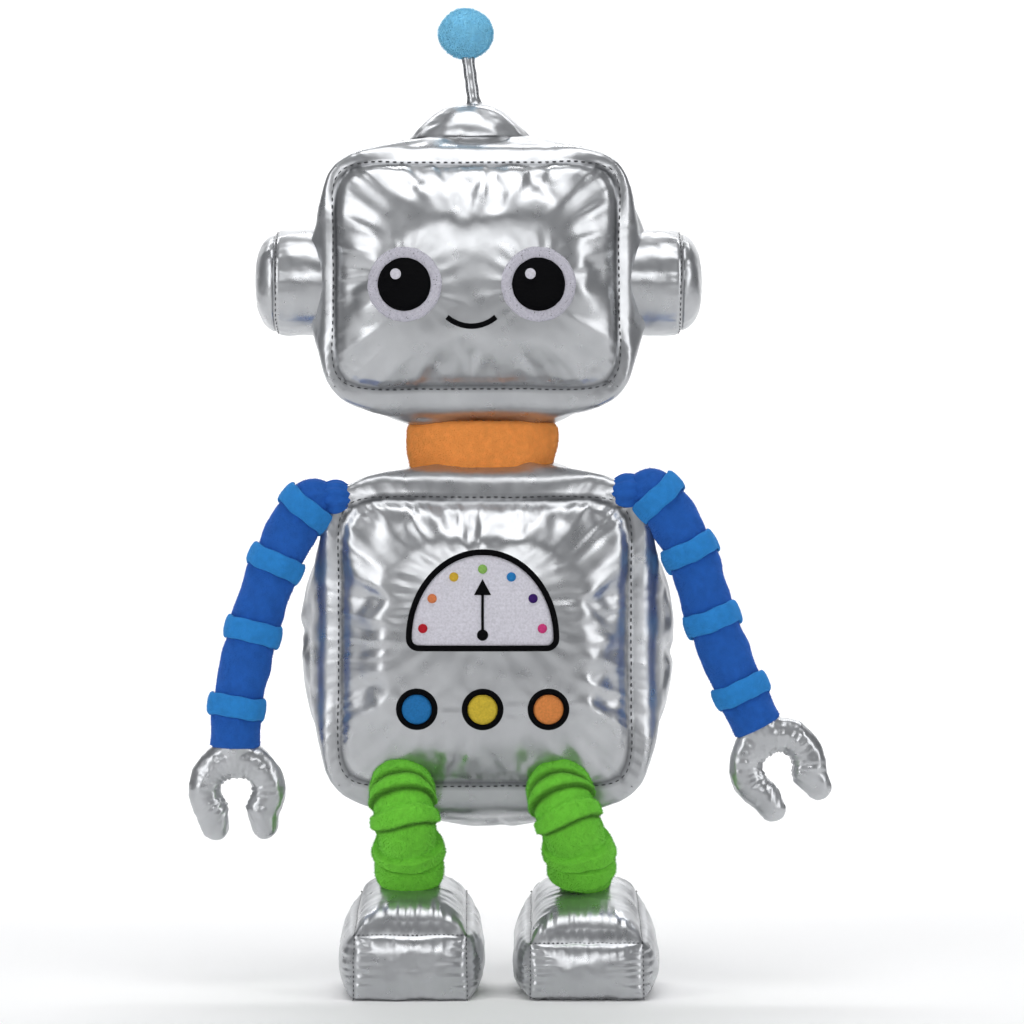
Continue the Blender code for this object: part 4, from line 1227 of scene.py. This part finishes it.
# ---------------------------------------------------------------------------------------------
# The collar: a short stuffed tube of orange velboa between body and head, wider than it is deep
# and drawn in a little halfway up.
# ---------------------------------------------------------------------------------------------
ORANGE = velboa_material("orange velboa", (1.0, 0.36, 0.085), 0.5)
collar_low, collar_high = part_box("neck_collar")
collar_middle = middle_between(collar_low, collar_high)
COLLAR_SQUARE = 2.4        # a round loop has 2, a squarer one more
angle = full_turn(96)
wide = (collar_high[0] - collar_low[0]) / 2
deep = (collar_high[1] - collar_low[1]) / 2 * 0.88
across = (np.abs(np.cos(angle)) / wide) ** COLLAR_SQUARE
oval = 1 / (across + (np.abs(np.sin(angle)) / deep) ** COLLAR_SQUARE) ** (1 / COLLAR_SQUARE)
collar_line = []
collar_radii = []
for row in range(34):
    part = row / 33
    round_off = (1 - abs(2 * part - 1) ** 9) ** 0.5
    pinch = 0.0022 * bell(part - 0.62, 0.20)
    wobble = 0.0004 * np.sin(5 * angle + 1.3) * math.sin(part * 9)
    z = collar_high[2] + (collar_low[2] - collar_high[2]) * part
    collar_line.append((collar_middle[0], collar_middle[1], z))
    collar_radii.append(np.maximum(oval * (0.86 + 0.14 * round_off) - pinch + wobble - 0.0004, 0.004))
collar = swept("collar", collar_line, collar_radii)
finish_plush(collar, ORANGE, "neck", "orange_pile", ["neck_collar"], 0.7, "collar_pile", 1500000, 0.0009)

# ---------------------------------------------------------------------------------------------
# The arms: a deep blue velboa sleeve gathered into the body's side seam, and four padded bands of
# a lighter blue. Each band is a front and a back strip that meet at the sides in a small step.
# ---------------------------------------------------------------------------------------------
DEEP_BLUE = velboa_material("deep blue velboa", (0.020, 0.120, 0.48), 0.5)
MID_BLUE = velboa_material("mid blue velboa", (0.030, 0.25, 0.66), 0.5)
SLEEVE_RADIUS = 0.0129
BAND_HALF = 0.0056
BAND_OUT = 0.0154
BAND_IN = 0.0118
SLEEVE_ROOT = 0.0080       # drawn together where it leaves the body


def padded_band(name, middle, way, seed):
    """A ring of padding round a sleeve, its back half a little further down than its front."""
    way = np.array(way) / np.linalg.norm(way)
    depth = np.array((0.0, 1.0, 0.0))
    side = np.cross(way, depth)
    around, section = 72, 18
    points = []
    for k in range(around):
        angle = 2 * math.pi * k / around
        back = smooth_step(-0.10, 0.10, math.sin(angle))
        notch = bell(math.sin(angle), 0.09) * (1 if abs(math.cos(angle)) > 0.5 else 0)
        out = side * math.cos(angle) + depth * math.sin(angle)
        wave = 0.00030 * math.sin(3 * angle + seed) + 0.00020 * math.sin(7 * angle + 2 * seed)
        for m in range(section):
            turn = 2 * math.pi * m / section
            across = math.cos(turn)
            up = math.sin(turn)
            fit = (abs(across) ** 2.6 + abs(up) ** 2.6) ** (1 / 2.6)
            along = across / fit * BAND_HALF
            lift = up / fit * (BAND_OUT - BAND_IN) / 2
            radius = (BAND_OUT + BAND_IN) / 2 + lift + (wave - 0.0011 * notch) * (up > 0)
            points.append(np.array(middle) + out * radius + way * (along + 0.0016 * back + wave))
    return closed_piece(name, points, ring_faces(around, section))


def nearest(line, place):
    return np.argmin(np.linalg.norm(line - place, axis=1))


for side, sign in (("right", -1), ("left", 1)):
    shoulder = joint_place("shoulder_swing_" + side)
    elbow = joint_place("elbow_bend_" + side)
    wrist = joint_place("wrist_bend_" + side)
    places = []
    for number in range(1, 5):
        places.append(np.array(middle_between(*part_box(f"sleeve_band_{side}_{number}"))))
    root = shoulder + np.array((sign * 0.0005, 0, 0.0004))
    line, run = smooth_line([root, places[0], places[1], elbow, places[2], places[3], wrist], 130)
    band_run = [run[nearest(line, place)] for place in places]
    angle = full_turn(64)
    radii = []
    for distance in run:
        start = SLEEVE_ROOT + (SLEEVE_RADIUS - SLEEVE_ROOT) * smooth_step(0.0, 0.013, distance)
        cinch = sum(0.0007 * bell(distance - at, 0.006) for at in band_run)
        gather = 0.0006 * np.sin(9 * angle) * math.exp(-distance / 0.007)
        slack = 0.00035 * np.sin(2 * angle + distance * 260)
        slack = slack + 0.0002 * np.sin(5 * angle - distance * 410)
        hem = 0.0006 * smooth_step(run[-1] - 0.0016, run[-1], distance)
        radii.append(start - cinch + gather + slack - hem)
    radii[0] = radii[0] * 0.55
    radii[-1] = radii[-1] * 0.93
    sleeve = swept("sleeve_" + side, line, radii)
    nap = pile_on(sleeve, "sleeve_pile_" + side, DEEP_BLUE, 1000000, 0.0008)
    sleeve_nodes = ["upper_sleeve_" + side, "lower_sleeve_" + side]
    finish_piece(sleeve, DEEP_BLUE, None, sleeve_nodes)
    nap.data.materials.clear()
    nap.data.materials.append(DEEP_BLUE)
    for obj in (sleeve, nap):
        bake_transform(obj)
    cap = plush_ball("shoulder_gather_" + side, shoulder, 0.0098, 0.0094, 81)
    cap_points = points_of(cap.data)
    turn = np.arctan2(cap_points[:, 2] - shoulder[2], cap_points[:, 1] - shoulder[1])
    push_out(cap, 0.0005 * np.sin(turn * 10))
    finish_piece(cap, DEEP_BLUE, "shoulder_" + side, ["shoulder_cap_" + side])
    for number, place in enumerate(places, 1):
        at = nearest(line, place)
        way = line[at + 1] - line[at - 1]
        body = ("upper_arm_" if number < 3 else "forearm_") + side
        band = padded_band(f"band_{side}_{number}", place, way, number + 4 * (sign > 0))
        finish_plush(band, MID_BLUE, body, "mid_blue_pile", [f"sleeve_band_{side}_{number}"], 0.7,
                     f"band_pile_{side}_{number}", 900000, 0.0007)

# ---------------------------------------------------------------------------------------------
# The claws: each is two foil shapes sewn round their edge, turned and stuffed. The inner curve is
# tight, so the foil wrinkles out from it.
# ---------------------------------------------------------------------------------------------
CLAW_TILT = {"right": -2.0, "left": 26.0}   # degrees out from straight down
CLAW_RING = 0.0164
CLAW_DROP = 0.0222         # the ring's middle, below the wrist
CLAW_THICK = 0.0090


for side, sign in (("right", -1), ("left", 1)):
    wrist = joint_place("wrist_bend_" + side)
    tilt = math.radians(CLAW_TILT[side])
    heading = np.array((sign * math.sin(tilt), 0, -math.cos(tilt)))
    across = np.array((-heading[2], 0, heading[0]))
    middle = wrist + heading * CLAW_DROP
    line = []
    thick = []
    for step in range(45):
        angle = math.radians(52 + (308 - 52) * step / 44)
        line.append(middle + heading * CLAW_RING * math.cos(angle)
                    + across * CLAW_RING * math.sin(angle))
        thick.append(CLAW_THICK + 0.0010 * bell(step - 22, 9))
    for end in (0, -1):
        outward = line[end] - middle
        outward = across * np.sign(outward @ across)
        for step in range(1, 9):
            start = line[0 if end == 0 else 44]
            line.append(start + heading * 0.0088 * step / 8 + outward * 0.0010 * step / 8)
            thick.append(CLAW_THICK - 0.0016 * step / 8)
    for step in range(12):
        line.append(wrist + heading * (CLAW_DROP - CLAW_RING) * step / 11)
        thick.append(0.0114 - 0.0012 * step / 11)
    bm = bmesh.new()
    for place, radius in zip(line, thick):
        made = bmesh.ops.create_icosphere(bm, subdivisions=2, radius=radius)
        bmesh.ops.translate(bm, vec=Vector(place), verts=made["verts"])
    mesh = bpy.data.meshes.new("claw_cover_" + side)
    bm.to_mesh(mesh)
    bm.free()
    claw = new_mesh_object("claw_cover_" + side, mesh)
    remesh = claw.modifiers.new("one skin", "REMESH")
    remesh.mode = "VOXEL"
    remesh.voxel_size = 0.0011
    relax = claw.modifiers.new("relax", "SMOOTH")
    relax.iterations = 8
    relax.factor = 0.6
    bake_modifiers(claw)
    points = points_of(claw.data)
    points[:, 1] = wrist[1] + (points[:, 1] - wrist[1]) * 0.92
    set_points(claw.data, points)
    local = points - middle
    out = np.hypot(local @ heading, local @ across)
    turn = np.arctan2(local @ across, local @ heading) / (2 * math.pi) + 0.5
    rays = ripple(turn, 1.0, 1 / 30, 91 + sign)
    inner = np.exp(-np.maximum(out - 0.0085, 0) / 0.0075)
    edge = np.abs(points[:, 1] - wrist[1])
    folds = 0.0011 * (rays - 0.45) * inner
    push_out(claw, folds + 0.0005 * smooth_noise(points, 0.014, 92) - 0.0006 * bell(edge, 0.0009))
    # Painted shade along the claw's edge seam.
    mark(claw.data, "crease_shade", 0.8 * bell(edge, 0.0006))
    finish_piece(claw, FOIL, "hand_" + side, ["claw_" + side])

# ---------------------------------------------------------------------------------------------
# The legs: green velboa tubes, longer than the gap they fill, so they gather into rolls. Each
# roll overhangs the smooth stretch below it. They leave the body forwards and turn down.
# ---------------------------------------------------------------------------------------------
GREEN = velboa_material("green velboa", (0.19, 0.66, 0.055), 0.7)
LEG_SMOOTH = 0.0151
LEG_SPAN = 0.0650          # from the body to the last fold on the shoe
ROLLS = (                    # start and end as parts of the span, and full radius
    (0.150, 0.262, 0.0164), (0.262, 0.323, 0.0170), (0.385, 0.480, 0.0171), (0.680, 0.832, 0.0178),
    (0.832, 1.120, 0.0172),
)
LEG_SIDES = (                # lean of the folds, and shifts in x of the top and the base
    ("right", 0.05, -0.0022, -0.0015),
    ("left", 0.22, -0.0018, 0.0012),
)
for side, lean, top_shift, base_shift in LEG_SIDES:
    hip = joint_place("hip_swing_" + side)
    ankle = joint_place("ankle_bend_" + side)
    places = [hip + np.array((top_shift, 0.0155, 0.0055)), hip + np.array((top_shift, 0.0020, -0.0020)),
              hip * 0.62 + ankle * 0.38 + np.array((top_shift * 0.62 + base_shift * 0.38, -0.0045, 0)),
              hip * 0.2 + ankle * 0.8 + np.array((top_shift * 0.2 + base_shift * 0.8, 0.0050, 0)),
              ankle + np.array((base_shift, 0.0180, -0.0190))]
    line, run = smooth_line(places, 170)
    angle = full_turn(64)
    radii = []
    roll_shades = []
    for place in run / LEG_SPAN:
        tilted = place - lean * smooth_step(0.3, 0.9, place) * np.cos(angle) * 0.25
        tilted = tilted + 0.012 * np.sin(2 * angle + place * 7)
        tilted = tilted - 0.06 * (1 - 0.3 * smooth_step(0.6, 0.95, place)) * np.sin(angle)
        radius = np.full(64, LEG_SMOOTH)
        hollow_shade = np.zeros(64)
        for low, high, full in ROLLS:
            inside = (tilted - low) / (high - low)
            swell = smooth_step(0, 0.20, inside) * (1 - smooth_step(0.90, 1.0, inside))
            sag = 0.7 + 0.3 * np.clip(inside, 0, 1)
            radius = np.maximum(radius, LEG_SMOOTH + (full - LEG_SMOOTH) * swell * sag * 1.4)
            # Painted shade in the hollow under each roll's overhang.
            hollow_shade = np.maximum(hollow_shade, bell((inside - 1.02) * (high - low), 0.012))
        radii.append(radius - smooth_step(1.00, 1.10, place) * 0.0030)
        roll_shades.append(hollow_shade)
    radii[0] = radii[0] * 0.5
    radii[1] = radii[1] * 0.8
    leg = swept("leg_roll_" + side, line, radii, {"crease_shade": roll_shades})
    lump(leg, 0.0005, 0.020, 95)
    finish_plush(leg, GREEN, "lower_leg_" + side, "green_pile", ["leg_" + side], 0.7,
                 "leg_pile_" + side, 1500000, 0.0012, 0.00012)

# ---------------------------------------------------------------------------------------------
# The shoes: foil boxes sewn along every edge and filled with pellets. The top slopes down to the
# front seam, which draws in strongly, and the front and sides swell between their seams.
# ---------------------------------------------------------------------------------------------
SHOE_CELLS = (44, 44, 34)


def shoe_skin(name, side, seed):
    low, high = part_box("foot_shell_" + side)
    x = (low[0] + high[0]) / 2 - 0.0015
    front = low[1] + 0.0035
    seam_height = 0.0331 if side == "right" else 0.0290
    foot = 0.0006 if side == "right" else 0.0014
    back = high[1] - 0.0050
    corners = {
        (-1, -1, -1): (-0.0288, front - 0.0012, foot), (1, -1, -1): (0.0288, front - 0.0012, foot),
        (-1, -1, 1): (-0.0282, front + 0.0010, seam_height),
        (1, -1, 1): (0.0282, front + 0.0010, seam_height),
        (-1, 1, -1): (-0.0285, back, 0.0022), (1, 1, -1): (0.0285, back, 0.0022),
        (-1, 1, 1): (-0.0275, back, 0.0460), (1, 1, 1): (0.0275, back, 0.0460),
    }
    unit, quads = lattice_box(SHOE_CELLS)
    points = np.zeros_like(unit)
    for signs, corner in corners.items():
        weight = np.prod([(1 + unit[:, k] * signs[k]) / 2 for k in range(3)], axis=0)
        points += weight[:, None] * np.array((corner[0] + x, corner[1], corner[2]))
    half = (0.0275, (back - front) / 2, 0.0200)
    swell = {(0, -1): 0.0090, (0, 1): 0.0090, (1, -1): 0.0046, (1, 1): 0.0050,
             (2, -1): 0.0022, (2, 1): 0.0150}
    lift = np.zeros_like(points)
    edge = np.full(len(points), 1.0)
    for (axis, way), height in swell.items():
        on = np.abs(unit[:, axis] - way) < 1e-9
        u, v = [k for k in range(3) if k != axis]
        flat = 5.0 if axis == 2 else 2.4
        dome = np.maximum(1 - np.abs(unit[:, u]) ** 3.0, 0)
        dome = (dome * np.maximum(1 - np.abs(unit[:, v]) ** flat, 0)) ** 0.55
        near_u = (1 - np.abs(unit[:, u])) * half[u]
        near_v = (1 - np.abs(unit[:, v])) * half[v]
        distance = np.minimum(near_u, near_v)
        along = np.where(near_u < near_v, unit[:, v] * half[v], unit[:, u] * half[u])
        which = np.where(near_u < near_v, np.sign(unit[:, u]), 2 * np.sign(unit[:, v]))
        wave = np.zeros(len(points))
        for number, key in enumerate((-2, -1, 1, 2)):
            pleats = ripple(along + 0.04, 0.060, 0.0052, seed + axis * 10 + number + way)
            wave = np.where(which == key, pleats, wave)
        strength = 1.5 if axis == 2 and way == 1 else 1.0
        fade = np.exp(-distance / (0.0065 * strength)) * (1 - np.exp(-distance / 0.0011))
        gather = 0.0011 * strength * (wave - 0.35) * fade
        lift[on, axis] += way * (height * dome + gather * np.clip(dome * 3, 0, 1))[on]
        edge = np.where(on, np.minimum(edge, distance), edge)
    points = points + lift
    points += 0.00045 * smooth_noise(points, 0.024, seed + 50)[:, None]
    points[:, 2] = np.maximum(points[:, 2], 0.0)
    # Painted shade along every seam of the shoe.
    mesh = mesh_from(name, points, quads, {"crease_shade": 0.5 * bell(edge, 0.0005)})
    return new_mesh_object(name, mesh), corners, x


for side, seed in (("right", 101), ("left", 131)):
    shoe, corners, shoe_x = shoe_skin("shoe_" + side, side, seed)
    nodes = ["foot_shell_" + side, "foot_pellets_" + side]
    finish_piece(shoe, FOIL, "foot_" + side, nodes)
    skin = surface_of(shoe)
    paths = []
    keys = list(corners)
    for first in keys:
        for second in keys:
            if first < second and sum(a != b for a, b in zip(first, second)) == 1:
                start = np.array(corners[first]) + np.array((shoe_x, 0, 0))
                end = np.array(corners[second]) + np.array((shoe_x, 0, 0))
                path = [start + (end - start) * k / 24 for k in range(25)]
                if first[2] == -1 and second[2] == -1:
                    continue
                paths.append(lay_on(skin, path, 0.0002))
    stitch("shoe_stitches_" + side, paths, "foot_" + side, pitch=0.0022, thread=0.00017)
